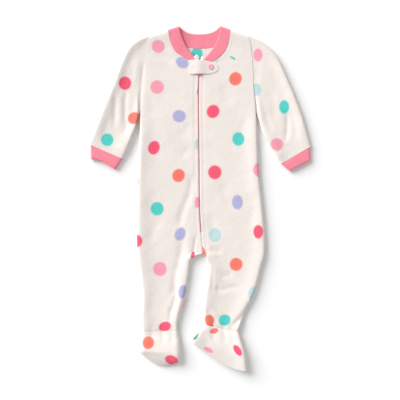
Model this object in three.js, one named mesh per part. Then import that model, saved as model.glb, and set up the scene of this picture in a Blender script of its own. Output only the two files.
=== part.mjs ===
import * as THREE from 'three';

// Footed baby sleepsuit, laid flat on its back. Millimetres, +Z up, +Y towards the neck.
// Left and right are seen from the front, so left is the -X side.

// Driving dimensions
const garmentLength = 658;
const fleece = 2.6;
const ribKnit = 2.4;
const zipTape = 0.8;
const guardCloth = 2.2;
const seamGap = 0.3;

// Heights of the flat lay: side seam, cloth in the middle, rolled edge
const seamHeight = 4.5;
const middleTop = 6.8;
const rolledTop = 8.9;
const rollRadius = 4.4;
const rollFade = 16;
const shoulderPuff = 0.6;

// Cells across each kind of panel, between its rolled edges
const panelCells = 6;
const backLegCells = 5;
const tubeCells = 5;
const footCells = 5;
const soleCells = 8;
const soleCellsAround = 6;
const bandCells = 5;

// Plan tables are drawn on squared paper: x to the right and y down, in squares of the plan
const planLength = 346.3;
const planMiddle = { x: 200, y: 199.65 };
const square = garmentLength / planLength;

const surface = (color, roughness) => new THREE.MeshStandardMaterial({ color, roughness, metalness: 0 });
const fleeceMaterial = () => surface(0xf0e8e1, 0.95);
const ribMaterial = () => surface(0xfb8fa4, 0.9);
const tapeMaterial = () => surface(0xd98a94, 0.8);
const plasticMaterial = () => surface(0xe8657f, 0.35);

// Fronts: outer is the armhole, side seam and outside leg; inner the neckline, zip edge and inside leg
const frontColumns = ['outerX', 'outerY', 'innerX', 'innerY', 'outerRoll', 'innerRoll'];
const frontLeftRows = readTable(frontColumns, [
  [149.0, 36.5, 168.0, 30.5, 0, 0],
  [148.0, 44.0, 169.9, 40.5, 0, 0],
  [145.6, 55.0, 175.0, 52.4, 0, 0],
  [142.9, 68.0, 186.9, 60.0, 0, 0],
  [141.4, 86.0, 197.4, 68.2, 0, 0],
  [140.6, 112.0, 197.7, 92.0, 0.2, 0],
  [139.5, 140.0, 198.0, 128.0, 1, 0],
  [138.4, 172.0, 198.3, 166.0, 1, 0],
  [137.4, 212.0, 198.8, 206.0, 1, 0],
  [137.0, 236.0, 200.1, 231.0, 1, 0],
  [137.4, 250.0, 202.8, 253.4, 1, 0.3],
  [138.0, 256.0, 197.6, 254.9, 1, 1],
  [138.5, 262.0, 191.6, 259.2, 1, 1],
  [140.7, 278.6, 188.3, 278.6, 1, 1],
  [142.3, 296.0, 184.6, 298.0, 1, 1],
  [141.4, 312.5, 180.8, 311.0, 1, 1],
  [141.5, 321.8, 178.4, 321.0, 1, 1],
  [142.2, 331.0, 178.4, 330.6, 1, 1],
]);
const frontRightRows = readTable(frontColumns, [
  [248.8, 36.0, 230.9, 30.5, 0, 0],
  [250.2, 44.5, 229.5, 40.5, 0, 0],
  [251.6, 56.0, 225.3, 51.8, 0, 0],
  [252.6, 68.0, 213.4, 62.2, 0, 0],
  [253.2, 86.0, 201.7, 68.2, 0, 0],
  [255.6, 112.0, 199.4, 92.0, 0.2, 0],
  [257.6, 140.0, 199.6, 128.0, 1, 0],
  [258.8, 172.0, 199.9, 166.0, 1, 0],
  [262.6, 208.0, 200.4, 206.0, 1, 0],
  [264.6, 232.0, 201.7, 231.0, 1, 0],
  [265.2, 246.0, 203.4, 251.0, 1, 0.3],
  [264.4, 256.0, 204.6, 257.2, 1, 1],
  [261.5, 266.0, 208.6, 265.6, 1, 1],
  [257.5, 282.0, 207.7, 279.0, 1, 1],
  [253.6, 294.0, 205.0, 292.0, 1, 1],
  [247.0, 308.5, 203.2, 306.0, 1, 1],
  [242.0, 320.0, 203.8, 316.0, 1, 1],
  [238.8, 331.0, 205.2, 324.4, 1, 1],
]);
const underarmRow = 5;
const sleeveGap = 1.6;
const forkRow = 10;
const crotchRow = 12;
const crotchRowStep = 7;
const neckRow = 4;
const neckTurnRow = 4;
const neckGap = 0.8;
const backNeckGap = 1.35;
const backNeck = { start: 0.19, end: 0.82 };
const neckFadeRows = 4.5;
const armholeFadeRows = 4;
const shoulderPlaces = [0.04, 0.16, 0.3];
const shoulderEdgeRise = 0.01;

// Where the back forks: shares of its width, and its cut edge between the legs
const backFork = { left: 0.43, right: 0.55 };
const crotchRollRows = 0.6;
const crotchEdgeRows = readTable(['x', 'y'], [
  [191.6, 259.2],
  [197.6, 255.2],
  [203.8, 255.0],
  [208.6, 265.6],
]);

// Sleeves: outer is the overarm fold, inner the underarm seam
const sleeveColumns = ['outerX', 'outerY', 'innerX', 'innerY', 'bow'];
const sleeveLeftRows = readTable(sleeveColumns, [
  [149.0, 36.5, 140.4, 112.6, 0],
  [139.5, 40.2, 139.0, 117.0, 0],
  [131.0, 46.0, 137.6, 122.0, 0],
  [124.5, 56.5, 136.2, 127.0, 0],
  [119.0, 70.0, 134.6, 132.0, 0],
  [113.2, 85.0, 132.2, 138.0, 0],
  [106.0, 101.5, 129.6, 145.0, 0],
  [98.0, 121.5, 126.6, 152.0, 0],
  [89.8, 144.2, 123.2, 159.2, 0],
]);
const sleeveRightRows = readTable(sleeveColumns, [
  [248.8, 36.0, 255.9, 112.6, 0],
  [258.5, 40.2, 257.5, 117.0, 0],
  [267.5, 46.5, 259.2, 122.0, 0],
  [275.5, 55.0, 260.9, 128.5, 0],
  [281.0, 65.0, 263.0, 135.0, 0],
  [287.5, 79.5, 266.0, 140.5, 0],
  [295.0, 97.0, 270.5, 148.0, 0],
  [303.0, 119.0, 275.5, 156.5, 0],
  [310.6, 146.6, 280.6, 163.8, 0],
]);
const cuffLeftRows = readTable(sleeveColumns, [
  [91.1, 145.4, 122.0, 159.2, 0],
  [91.1, 149.6, 120.4, 162.4, -0.8],
  [91.1, 154.6, 118.0, 166.0, -1.8],
  [91.2, 159.6, 115.4, 169.7, -2.7],
]);
const cuffRightRows = readTable(sleeveColumns, [
  [309.5, 148.1, 281.7, 163.9, 0],
  [309.4, 151.6, 283.8, 166.1, 0.1],
  [309.7, 155.7, 286.4, 168.5, 0.2],
  [309.9, 159.9, 288.9, 170.9, 0.3],
]);

// Neckband: seam is its sewn edge, rim its free edge; from the zip up to the shoulder fold
const bandColumns = ['seamX', 'seamY', 'rimX', 'rimY'];
const bandFrontLeftRows = readTable(bandColumns, [
  [197.2, 67.9, 199.1, 60.4],
  [192.3, 63.6, 195.6, 58.0],
  [187.2, 59.9, 191.4, 54.4],
  [181.4, 56.5, 187.6, 49.2],
  [175.4, 52.2, 184.6, 43.5],
  [171.6, 45.6, 182.0, 37.0],
  [169.3, 37.0, 180.2, 31.0],
  [168.2, 30.3, 179.3, 26.8],
]);
const bandFrontRightRows = readTable(bandColumns, [
  [201.6, 67.9, 200.9, 60.4],
  [206.6, 65.3, 203.8, 58.4],
  [212.8, 62.1, 207.2, 56.4],
  [219.2, 58.1, 210.6, 52.0],
  [224.6, 52.2, 213.8, 47.2],
  [228.0, 45.6, 217.0, 40.4],
  [229.8, 37.0, 219.4, 32.4],
  [230.7, 30.3, 220.2, 26.6],
]);
const bandBackRows = readTable(bandColumns, [
  [168.2, 30.3, 179.3, 26.8],
  [171.2, 35.6, 181.6, 29.2],
  [176.0, 41.2, 184.6, 31.4],
  [182.4, 45.8, 188.6, 33.4],
  [190.6, 48.2, 193.8, 34.5],
  [200.0, 48.8, 199.8, 34.7],
  [209.2, 48.2, 205.9, 34.3],
  [217.0, 45.8, 211.4, 33.1],
  [223.2, 41.2, 215.4, 31.2],
  [227.8, 35.6, 218.2, 29.0],
  [230.7, 30.3, 220.2, 26.6],
]);

// Left foot, seen from above with its toe down: crown is the height of the top, side that of the sole seam
const footColumns = ['outerX', 'outerY', 'innerX', 'innerY', 'bow', 'crown', 'side'];
const footUpperLeftRows = readTable(footColumns, [
  [142.2, 331.5, 178.4, 331.1, 0, 9.4, 4.8],
  [141.2, 338.0, 179.6, 337.6, 1.6, 13.4, 5.2],
  [140.4, 344.6, 180.8, 345.0, 1.6, 16.0, 5.8],
  [140.0, 348.6, 181.4, 352.6, 0.2, 16.2, 6.4],
  [140.2, 351.4, 180.6, 358.4, -1.6, 13.8, 7.2],
  [141.4, 352.8, 178.6, 362.2, -2.2, 10.6, 8.0],
]);
const footSoleLeftRows = readTable(footColumns, [
  [142.2, 331.3, 178.4, 330.9, 0, 0, 4.5],
  [141.2, 338.0, 179.6, 337.6, 0, 0, 4.9],
  [140.4, 344.6, 180.8, 345.0, 0, 0, 5.5],
  [140.4, 351.0, 181.2, 354.6, 2.0, 0, 6.1],
  [141.6, 353.6, 180.6, 359.0, 5.6, 0.4, 6.4],
  [142.8, 355.0, 180.0, 361.4, 7.4, 3.2, 6.8],
  [142.4, 354.0, 179.6, 362.6, 3.6, 7.2, 7.2],
]);
const toeRadius = 11;
const soleRadius = 6;
const toeGap = 0.8;
const lowBowPeak = 0.4;

// Right foot, lying on its side: heel is the fold at the back, instep the fold at the front
const sideFootColumns = ['outerX', 'outerY', 'innerX', 'innerY', 'bow', 'crown'];
const footUpperRightRows = readTable(sideFootColumns, [
  [238.8, 331.5, 204.9, 324.9, 0, 9.4],
  [240.8, 337.5, 200.8, 328.8, 0.6, 12.5],
  [243.4, 345.5, 196.6, 333.6, 2.2, 15.5],
  [245.8, 356.0, 193.2, 336.6, 4.2, 16.5],
  [247.2, 368.6, 192.2, 340.2, 5.9, 14.0],
]);
const soleBulge = 2.8;
const soleWall = 1.8;
const soleFullness = 0.6;
const soleSeam = 0.55;
const sideFootPuff = 0.4;

// Zip: its line down the centre front, in plan squares
const zipColumns = ['lineX', 'lineY'];
const zipRows = readTable(zipColumns, [
  [199.3, 68.6],
  [198.6, 92.0],
  [198.8, 128.0],
  [199.1, 166.0],
  [199.6, 206.0],
  [200.9, 231.0],
]);
const zipTapeWidth = 9;
const zipTapeHeight = 3.7;
const zipHalfGap = 0.2;

// Guard: a tab with one round end, sewn at the left and snapped at the right
const guardColumns = ['topX', 'topY', 'bottomX', 'bottomY'];
const guardRows = readTable(guardColumns, [
  [189.0, 60.7, 189.4, 75.0],
  [193.4, 60.4, 193.6, 75.3],
  [198.2, 60.6, 198.2, 75.3],
  [203.0, 61.0, 203.0, 75.1],
  [207.6, 61.7, 207.8, 74.7],
  [211.8, 62.6, 212.0, 74.1],
  [215.2, 63.9, 215.2, 73.1],
  [217.4, 65.9, 217.4, 71.5],
  [218.2, 67.9, 218.2, 69.6],
]);
const guardRest = 9.5;
const guardOverSlider = 2.4;
const snapPlace = { x: 210.8, y: 67.4 };
const snapDiameter = 10.6;
const snapThickness = 1.7;
const snapSides = 24;
const sliderPlace = { x: 199.4, y: 72.3 };
const sliderSize = { width: 11.0, length: 15.0, thickness: 1.9 };
const sliderBevel = 0.4;

// Largest folds: a trough from one plan point to another, with its half width and depth in mm
const creaseColumns = ['fromX', 'fromY', 'toX', 'toY', 'width', 'depth'];
const leftLegFolds = readTable(creaseColumns, [
  [190.0, 178.0, 181.0, 226.0, 8, 0.9],
  [194.6, 234.0, 191.6, 256.0, 5, 1.2],
  [188.6, 236.0, 186.0, 262.0, 7, -1.6],
  [181.4, 243.0, 173.4, 294.0, 8, 1.0],
  [176.4, 286.0, 170.0, 318.0, 7, 1.1],
  [181.6, 290.0, 177.0, 318.0, 6, -1.0],
]);
const rightLegFolds = readTable(creaseColumns, [
  [249.0, 294.0, 231.5, 316.6, 8, 1.0],
  [218.0, 291.0, 240.0, 287.0, 7, 0.8],
  [206.0, 246.0, 222.0, 252.0, 8, 0.8],
]);
const sleeveLeftFolds = readTable(creaseColumns, [
  [116.0, 92.0, 114.6, 126.0, 7, 0.9],
  [127.0, 92.0, 125.0, 124.0, 7, 0.9],
]);
const sleeveRightFolds = readTable(creaseColumns, [
  [286.5, 113.0, 285.5, 140.0, 7, 0.9],
  [258.5, 52.0, 260.0, 104.0, 8, 0.9],
]);

function readTable(names, rows) {
  return rows.map((row) => Object.fromEntries(names.map((name, index) => [name, row[index]])));
}

function onPlan(x, y, z = 0) {
  return new THREE.Vector3((x - planMiddle.x) * square, (planMiddle.y - y) * square, z);
}

// Value of one column at a place between two rows, on a smooth curve through all of them
function smoothAt(rows, name, place) {
  const start = Math.min(Math.floor(place), rows.length - 2);
  const part = place - start;
  const [a, b, c, d] = [start - 1, start, start + 1, start + 2].map((index) => {
    const inside = THREE.MathUtils.clamp(index, 0, rows.length - 1);
    return rows[inside][name];
  });
  const bend = (2 * a - 5 * b + 4 * c - d) * part * part + (3 * b - a - 3 * c + d) * part ** 3;
  return b + 0.5 * ((c - a) * part + bend);
}

function pointAt(rows, end, place) {
  return onPlan(smoothAt(rows, end + 'X', place), smoothAt(rows, end + 'Y', place));
}

// Places along a table: steps in each row, and finer ones next to a rolled end
function placesAlong(rows, steps, fineStart = []) {
  const places = [0, ...fineStart];
  for (let step = 1; step <= (rows.length - 1) * steps; step += 1) {
    places.push(step / steps);
  }
  return places;
}

// Distances from one edge to the other, closer where the cloth rolls
function spacing(width, middleCells, radius = rollRadius) {
  const edge = [0, 30, 60, 90].map((angle) => radius * (1 - Math.cos(THREE.MathUtils.degToRad(angle))));
  const inner = [];
  for (let cell = 1; cell < middleCells; cell += 1) {
    inner.push(radius + (width - 2 * radius) * (cell / middleCells));
  }
  return [...edge, ...inner, ...edge.map((distance) => width - distance).reverse()];
}

function rise(distance, radius = rollRadius) {
  if (distance >= radius) {
    return 1;
  }
  return Math.sqrt(Math.max(0, 1 - (1 - distance / radius) ** 2));
}

function partRise(distance, weight, radius = rollRadius) {
  return 1 - weight * (1 - rise(distance, radius));
}

function puff(distance, weight) {
  const past = Math.max(0, distance - rollRadius);
  return weight * (rolledTop - middleTop) * Math.exp(-((past / rollFade) ** 2));
}

// Extra height of a tube between its two rolled edges
function tubePuff(distance, width) {
  return Math.min(puff(distance, 1) + puff(width - distance, 1), rolledTop - middleTop);
}

// Share of a bow: 0 at both ends of a line and 1 at its peak
function bowShare(share, peak = 0.5) {
  return Math.sin(Math.PI * share ** (Math.log(0.5) / Math.log(peak)));
}

function foldHeight(point, folds) {
  let height = 0;
  for (const fold of folds) {
    const from = onPlan(fold.fromX, fold.fromY);
    const to = onPlan(fold.toX, fold.toY);
    const run = to.clone().sub(from);
    const along = point.clone().setZ(0).sub(from).dot(run) / run.lengthSq();
    const inside = THREE.MathUtils.clamp(along, 0, 1);
    const away = from.addScaledVector(run, inside).distanceTo(point.clone().setZ(0));
    height -= fold.depth * Math.exp(-((away / fold.width) ** 2));
  }
  return height;
}

// Sewn edge of the neckband, moved out by the seam gap to the cloth it joins
function neckSeam(rows, place, gap = neckGap) {
  const seam = pointAt(rows, 'seam', place);
  const rim = pointAt(rows, 'rim', place);
  return seam.addScaledVector(seam.clone().sub(rim).normalize(), gap);
}

// A closed wall of cloth from a grid of points on its outer side.
// facing is 1 where columns crossed with rows point outwards, and -1 where they point inwards.
function clothWall(name, outer, wall, facing, material, options = {}) {
  const { ring = false, keeps = () => true, upright = () => 0, edgeNormal = () => null } = options;
  const rowCount = outer.length;
  const columnCount = outer[0].length;
  const cellColumns = ring ? columnCount : columnCount - 1;
  const wrap = (column) => (ring ? (column + columnCount) % columnCount : column);
  const kept = (row, column) => {
    const inRows = row >= 0 && row < rowCount - 1;
    const inColumns = ring || (column >= 0 && column < cellColumns);
    return inRows && inColumns && keeps(row, wrap(column));
  };
  const step = (row, column, rowStep, columnStep) => {
    const cellRows = rowStep === 0 ? [row - 1, row] : [row + Math.min(rowStep, 0)];
    const cellsAcross = columnStep === 0 ? [column - 1, column] : [column + Math.min(columnStep, 0)];
    const joined = cellRows.some((r) => cellsAcross.some((c) => kept(r, c)));
    return joined ? outer[row + rowStep][wrap(column + columnStep)] : outer[row][column];
  };
  const corners = [];
  const inner = outer.map((line, row) => line.map((point, column) => {
    const across = step(row, column, 0, 1).clone().sub(step(row, column, 0, -1));
    const along = step(row, column, 1, 0).clone().sub(step(row, column, -1, 0));
    const normal = across.cross(along).multiplyScalar(facing).normalize();
    normal.z *= 1 - upright(row, column);
    normal.normalize();
    return point.clone().addScaledVector(edgeNormal(row, column) ?? normal, -wall);
  }));
  const face = (a, b, c) => {
    const order = facing > 0 ? [a, b, c] : [a, c, b];
    order.forEach((point) => corners.push(point.x, point.y, point.z));
  };
  for (let row = 0; row < rowCount - 1; row += 1) {
    for (let column = 0; column < cellColumns; column += 1) {
      if (!kept(row, column)) {
        continue;
      }
      const next = wrap(column + 1);
      const places = [[row, column], [row, next], [row + 1, next], [row + 1, column]];
      const outside = places.map(([r, c]) => outer[r][c]);
      const inside = places.map(([r, c]) => inner[r][c]);
      face(outside[0], outside[1], outside[2]);
      face(outside[0], outside[2], outside[3]);
      face(inside[0], inside[2], inside[1]);
      face(inside[0], inside[3], inside[2]);
      const neighbours = [[row - 1, column], [row, column + 1], [row + 1, column], [row, column - 1]];
      neighbours.forEach(([r, c], side) => {
        if (kept(r, c)) {
          return;
        }
        const end = (side + 1) % 4;
        face(outside[end], outside[side], inside[side]);
        face(outside[end], inside[side], inside[end]);
      });
    }
  }
  const geometry = new THREE.BufferGeometry();
  geometry.setAttribute('position', new THREE.Float32BufferAttribute(corners, 3));
  geometry.computeVertexNormals();
  const mesh = new THREE.Mesh(geometry, material);
  mesh.name = name;
  return mesh;
}

// One front with its leg: rows run from the outer edge to the inner edge, fewer of them at the crotch
// and one more where the neckband turns
function makeFront(name, rows, bandRows, folds, facing) {
  const bandEnd = bandRows.length - 1;
  const neckTurnPlace = neckRow * (1 - neckTurnRow / bandEnd);
  const isKept = (place) => place < forkRow || place > crotchRow || Number.isInteger(place);
  const places = placesAlong(rows, 2, shoulderPlaces).filter(isKept);
  places.push(neckTurnPlace);
  places.sort((a, b) => a - b);
  const shoulder = pointAt(rows, 'outer', 0);
  const shoulderEnd = neckSeam(bandRows, bandEnd);
  const weights = [];
  const grid = places.map((place) => {
    const outer = pointAt(rows, 'outer', place);
    const alongNeck = bandEnd * (1 - place / neckRow);
    const inner = place <= neckRow ? neckSeam(bandRows, alongNeck) : pointAt(rows, 'inner', place);
    const width = outer.distanceTo(inner);
    const outerRoll = THREE.MathUtils.clamp(smoothAt(rows, 'outerRoll', place), 0, 1);
    const innerRoll = THREE.MathUtils.clamp(smoothAt(rows, 'innerRoll', place), 0, 1);
    weights.push([outerRoll, innerRoll]);
    return spacing(width, panelCells).map((distance) => {
      const share = distance / width;
      const point = outer.clone().lerp(inner, share);
      const fromShoulder = point.distanceTo(shoulder.clone().lerp(shoulderEnd, share));
      const sideRise = partRise(distance, outerRoll) * partRise(width - distance, innerRoll);
      const raised = sideRise * rise(fromShoulder);
      const sidePuff = puff(distance, outerRoll) + puff(width - distance, innerRoll);
      const swell = Math.min(sidePuff + puff(fromShoulder, shoulderPuff), rolledTop - middleTop);
      const top = middleTop + swell + foldHeight(point, folds);
      const low = seamHeight + seamGap;
      return point.setZ(low + (top - low) * raised);
    });
  });
  const last = grid[0].length - 1;
  const upright = (row, column) => {
    if (row === 0) {
      return 1;
    }
    if (column === 0) {
      return weights[row][0];
    }
    return column === last ? weights[row][1] : 0;
  };
  return clothWall(name, grid, fleece, facing, fleeceMaterial(), { upright });
}

// The back with both legs: four lines of points down it, two outside edges and two inside legs
function makeBack() {
  const places = placesAlong(frontLeftRows, 2, shoulderPlaces);
  const crotchEdge = crotchEdgeRows.map(({ x, y }) => onPlan(x, y));
  const middleCells = crotchEdge.length - 1;
  const legCells = spacing(1, backLegCells).length - 1;
  const topLeft = pointAt(frontLeftRows, 'outer', 0);
  const topRight = pointAt(frontRightRows, 'outer', 0);
  const bandEnd = bandBackRows.length - 1;
  const topEdge = (share) => {
    if (share < backNeck.start) {
      return topLeft.clone().lerp(neckSeam(bandBackRows, 0, backNeckGap), share / backNeck.start);
    }
    if (share > backNeck.end) {
      const neckEnd = neckSeam(bandBackRows, bandEnd, backNeckGap);
      return topRight.clone().lerp(neckEnd, (1 - share) / (1 - backNeck.end));
    }
    const place = (bandEnd * (share - backNeck.start)) / (backNeck.end - backNeck.start);
    return neckSeam(bandBackRows, place, backNeckGap);
  };
  const crotchPlace = places.indexOf(crotchRow);
  const levels = [];
  const grid = places.map((place, row) => {
    const outerLeft = pointAt(frontLeftRows, 'outer', place);
    const outerRight = pointAt(frontRightRows, 'outer', place);
    const aboveCrotch = Math.max(0, crotchRow - place) * crotchRowStep;
    const keepAbove = (point, edge) => {
      point.y = Math.max(point.y, edge.y + aboveCrotch);
    };
    const towardsLegs = THREE.MathUtils.smoothstep(place, forkRow - 1, crotchRow);
    const isLeg = place >= crotchRow;
    const innerLeft = outerLeft.clone().lerp(outerRight, backFork.left);
    const innerRight = outerLeft.clone().lerp(outerRight, backFork.right);
    innerLeft.lerp(isLeg ? pointAt(frontLeftRows, 'inner', place) : crotchEdge[0], towardsLegs);
    innerRight.lerp(isLeg ? pointAt(frontRightRows, 'inner', place) : crotchEdge[3], towardsLegs);
    if (!isLeg) {
      keepAbove(innerLeft, crotchEdge[0]);
      keepAbove(innerRight, crotchEdge[3]);
    }
    const outerRoll = THREE.MathUtils.clamp(smoothAt(frontLeftRows, 'outerRoll', place), 0, 1);
    const innerRoll = THREE.MathUtils.smoothstep(place, crotchRow - crotchRollRows, crotchRow);
    const neckShare = 1 - THREE.MathUtils.smoothstep(place, 0, neckFadeRows);
    const line = [];
    const level = [];
    const add = (point, raised, flatNormal) => {
      line.push(point.setZ((seamHeight - seamGap / 2) * (1 - raised)));
      level.push(flatNormal);
    };
    const shaped = (point) => {
      const share = THREE.MathUtils.clamp((point.x - outerLeft.x) / (outerRight.x - outerLeft.x), 0, 1);
      const top = topEdge(share);
      const chord = topLeft.clone().lerp(topRight, share);
      point.addScaledVector(top.clone().sub(chord), neckShare);
      const onShoulder = share < backNeck.start || share > backNeck.end;
      return onShoulder ? rise(point.distanceTo(top)) : 1;
    };
    const fill = (from, to, fromRoll, toRoll) => {
      const width = from.distanceTo(to);
      const clustered = spacing(width, backLegCells);
      clustered.forEach((distance, index) => {
        const point = from.clone().lerp(to, distance / width);
        const shoulderRise = shaped(point);
        const raised = partRise(distance, fromRoll) * partRise(width - distance, toRoll) * shoulderRise;
        const edgeRoll = index === 0 ? fromRoll : index === clustered.length - 1 ? toRoll : 0;
        const isShoulderEdge = row === 0 && shoulderRise < shoulderEdgeRise;
        add(point, raised, isShoulderEdge ? 1 : edgeRoll);
      });
    };
    fill(outerLeft, innerLeft, outerRoll, innerRoll);
    for (let cell = 1; cell < middleCells; cell += 1) {
      const point = innerLeft.clone().lerp(innerRight, cell / middleCells);
      point.lerp(crotchEdge[cell], towardsLegs);
      keepAbove(point, crotchEdge[cell]);
      shaped(point);
      const raised = rise(point.distanceTo(crotchEdge[cell]));
      add(point, isLeg ? 0 : raised, row >= crotchPlace ? 1 : 0);
    }
    fill(innerRight, outerRight, innerRoll, outerRoll);
    levels.push(level);
    return line;
  });
  const keeps = (row, column) => row < crotchPlace || column < legCells || column >= legCells + middleCells;
  const upright = (row, column) => levels[row][column];
  return clothWall('back', grid, fleece, 1, fleeceMaterial(), { keeps, upright });
}

// A flat tube of cloth: over the top from the outer edge to the inner one and back underneath
function makeTube(name, rows, wall, facing, material, options = {}) {
  const { steps = 1, folds = [], seam = null, topAt = null, bowPeak = 0.5 } = options;
  const places = placesAlong(rows, steps);
  const grid = places.map((place) => {
    const outer = pointAt(rows, 'outer', place);
    const inner = pointAt(rows, 'inner', place);
    const width = outer.distanceTo(inner);
    const bow = smoothAt(rows, 'bow', place) * square;
    const top = topAt ? topAt(place) : middleTop;
    const seamShare = seam ? 1 - THREE.MathUtils.smoothstep(place, 0, armholeFadeRows) : 0;
    const chordStart = pointAt(rows, 'outer', 0);
    const chordEnd = pointAt(rows, 'inner', 0);
    const pointsOver = spacing(width, tubeCells).map((distance) => {
      const share = distance / width;
      const point = outer.clone().lerp(inner, share);
      point.y -= bow * bowShare(share, bowPeak);
      if (seamShare > 0) {
        const shift = seam(share).sub(chordStart.clone().lerp(chordEnd, share));
        point.addScaledVector(shift, seamShare);
      }
      const raised = rise(distance) * rise(width - distance);
      return { point, raised, top: top + tubePuff(distance, width) + foldHeight(point, folds) };
    });
    const over = pointsOver.map(({ point, raised, top: high }) => {
      return point.clone().setZ(seamHeight + (high - seamHeight) * raised);
    });
    const under = pointsOver.slice(1, -1).reverse().map(({ point, raised }) => {
      return point.clone().setZ(seamHeight * (1 - raised));
    });
    return [...over, ...under];
  });
  return clothWall(name, grid, wall, facing, material, { ring: true });
}

function makeSleeve(name, rows, frontRows, away, facing, folds) {
  const seam = (share) => {
    const point = pointAt(frontRows, 'outer', share * underarmRow);
    return point.setX(point.x + away * sleeveGap);
  };
  return makeTube(name, rows, fleece, facing, fleeceMaterial(), { steps: 2, folds, seam });
}

// Neckband: up the left front, over the shoulder fold, across the back and down the right front
function makeNeckband() {
  const nearFold = [0.05, 0.15, 0.3, 0.55];
  const foldClear = 0.6;
  const stations = [];
  const addStations = (rows, reversed, isFront) => {
    const last = rows.length - 1;
    const halfRows = Array.from({ length: last * 2 - 1 }, (_, index) => (index + 1) / 2);
    const inner = halfRows.filter((place) => place < last - foldClear && (isFront || place > foldClear));
    const tail = nearFold.map((gap) => last - gap).reverse();
    const places = isFront ? [0, ...inner, ...tail] : [...nearFold, ...inner, ...tail];
    if (reversed) {
      places.reverse();
    }
    places.forEach((place) => stations.push({ rows, place, isFront }));
  };
  const fold = (rows, place) => stations.push({ rows, place, isFold: true });
  addStations(bandFrontLeftRows, false, true);
  fold(bandBackRows, 0);
  addStations(bandBackRows, false, false);
  fold(bandBackRows, bandBackRows.length - 1);
  addStations(bandFrontRightRows, true, true);
  const foldMiddles = [0, bandBackRows.length - 1].map((place) => {
    return pointAt(bandBackRows, 'seam', place).lerp(pointAt(bandBackRows, 'rim', place), 0.5);
  });
  const grid = stations.map(({ rows, place, isFront, isFold }) => {
    const seam = pointAt(rows, 'seam', place);
    const rim = pointAt(rows, 'rim', place);
    const middle = seam.clone().lerp(rim, 0.5);
    const away = Math.min(...foldMiddles.map((point) => point.distanceTo(middle)));
    const raised = isFold ? 0 : rise(away);
    const height = isFront ? seamHeight + (middleTop - seamHeight) * raised : seamHeight * (1 - raised);
    return Array.from({ length: bandCells + 1 }, (_, index) => {
      return seam.clone().lerp(rim, index / bandCells).setZ(height);
    });
  });
  return clothWall('neckband', grid, ribKnit, 1, ribMaterial());
}

// One line of points across a foot panel, from its outside edge to its inside edge
function footLine(rows, place, riseRadius) {
  const outer = pointAt(rows, 'outer', place);
  const inner = pointAt(rows, 'inner', place);
  const width = outer.distanceTo(inner);
  const bow = smoothAt(rows, 'bow', place) * square;
  const crown = smoothAt(rows, 'crown', place);
  const side = smoothAt(rows, 'side', place);
  return spacing(width, footCells, toeRadius).map((distance) => {
    const point = outer.clone().lerp(inner, distance / width);
    point.y -= bow * bowShare(distance / width);
    const raised = rise(distance, riseRadius) * rise(width - distance, riseRadius);
    return point.setZ(Math.max(0, side + (crown - side) * raised));
  });
}

// A foot panel, domed over the toes or flat underneath; both meet at the seam round the toe
function makeFootPanel(name, rows, facing, under) {
  const grid = placesAlong(rows, under ? 1 : 2).map((place) => {
    return footLine(rows, place, under ? soleRadius : toeRadius);
  });
  const toeSeam = footLine(footUpperLeftRows, footUpperLeftRows.length - 1, toeRadius);
  const last = toeSeam.length - 1;
  const outwards = toeSeam.map((point, column) => {
    const run = toeSeam[Math.min(column + 1, last)].clone().sub(toeSeam[Math.max(column - 1, 0)]);
    return new THREE.Vector3(run.y, -run.x, 0).normalize();
  });
  const end = grid.length;
  if (under) {
    const lowered = (point, column) => point.clone().addScaledVector(outwards[column], toeGap);
    grid.push(toeSeam.map((point, column) => lowered(point, column).setZ(point.z - toeGap)));
  }
  const seamRow = under ? end : end - 1;
  const upright = (row, column) => (column === 0 || column === last ? 1 : 0);
  const edgeNormal = (row, column) => {
    const lift = column === 0 || column === last ? 0 : 1;
    return row === seamRow ? outwards[column].clone().setZ(lift).normalize() : null;
  };
  return clothWall(name, grid, fleece, facing, fleeceMaterial(), { upright, edgeNormal });
}

function sideFootTop(place) {
  return smoothAt(footUpperRightRows, 'crown', place) - (rolledTop - middleTop) * sideFootPuff;
}

// Sole of the foot that lies on its side: a narrow strip, bulging outwards between the two layers
function makeSideSole() {
  const rows = footUpperRightRows;
  const end = rows.length - 1;
  const outer = pointAt(rows, 'outer', end);
  const inner = pointAt(rows, 'inner', end);
  const width = outer.distanceTo(inner);
  const outwards = new THREE.Vector3().subVectors(inner, outer).normalize();
  outwards.set(outwards.y, -outwards.x, 0);
  const bow = rows[end].bow * square;
  const top = sideFootTop(end);
  const grid = spacing(width, soleCells).slice(1, -1).map((distance) => {
    const share = distance / width;
    const point = outer.clone().lerp(inner, share);
    point.y -= bow * bowShare(share, lowBowPeak);
    const raised = rise(distance) * rise(width - distance);
    const high = seamHeight + (top + tubePuff(distance, width) - seamHeight) * raised;
    const low = seamHeight * (1 - raised);
    return Array.from({ length: soleCellsAround + 1 }, (_, index) => {
      const angle = Math.PI * (index / soleCellsAround);
      const shift = soleSeam + soleBulge * Math.sin(angle) ** soleFullness;
      const height = (high + low) / 2 + ((high - low) / 2) * Math.cos(angle);
      return point.clone().addScaledVector(outwards, -shift).setZ(height);
    });
  });
  const edgeNormal = (row, column) => {
    if (column === 0 || column === soleCellsAround) {
      return new THREE.Vector3(0, 0, column === 0 ? 1 : -1);
    }
    return null;
  };
  return clothWall('foot_sole_right', grid, soleWall, -1, fleeceMaterial(), { edgeNormal });
}

// One tape of the zip, under the edge of its front
function makeZipTape(name, away) {
  const places = placesAlong(zipRows, 2);
  const grid = places.map((place) => {
    const line = pointAt(zipRows, 'line', place);
    return [zipHalfGap, zipTapeWidth / 2, zipTapeWidth].map((distance) => {
      return line.clone().setX(line.x + away * distance).setZ(zipTapeHeight);
    });
  });
  return clothWall(name, grid, zipTape, -away, tapeMaterial());
}

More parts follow.
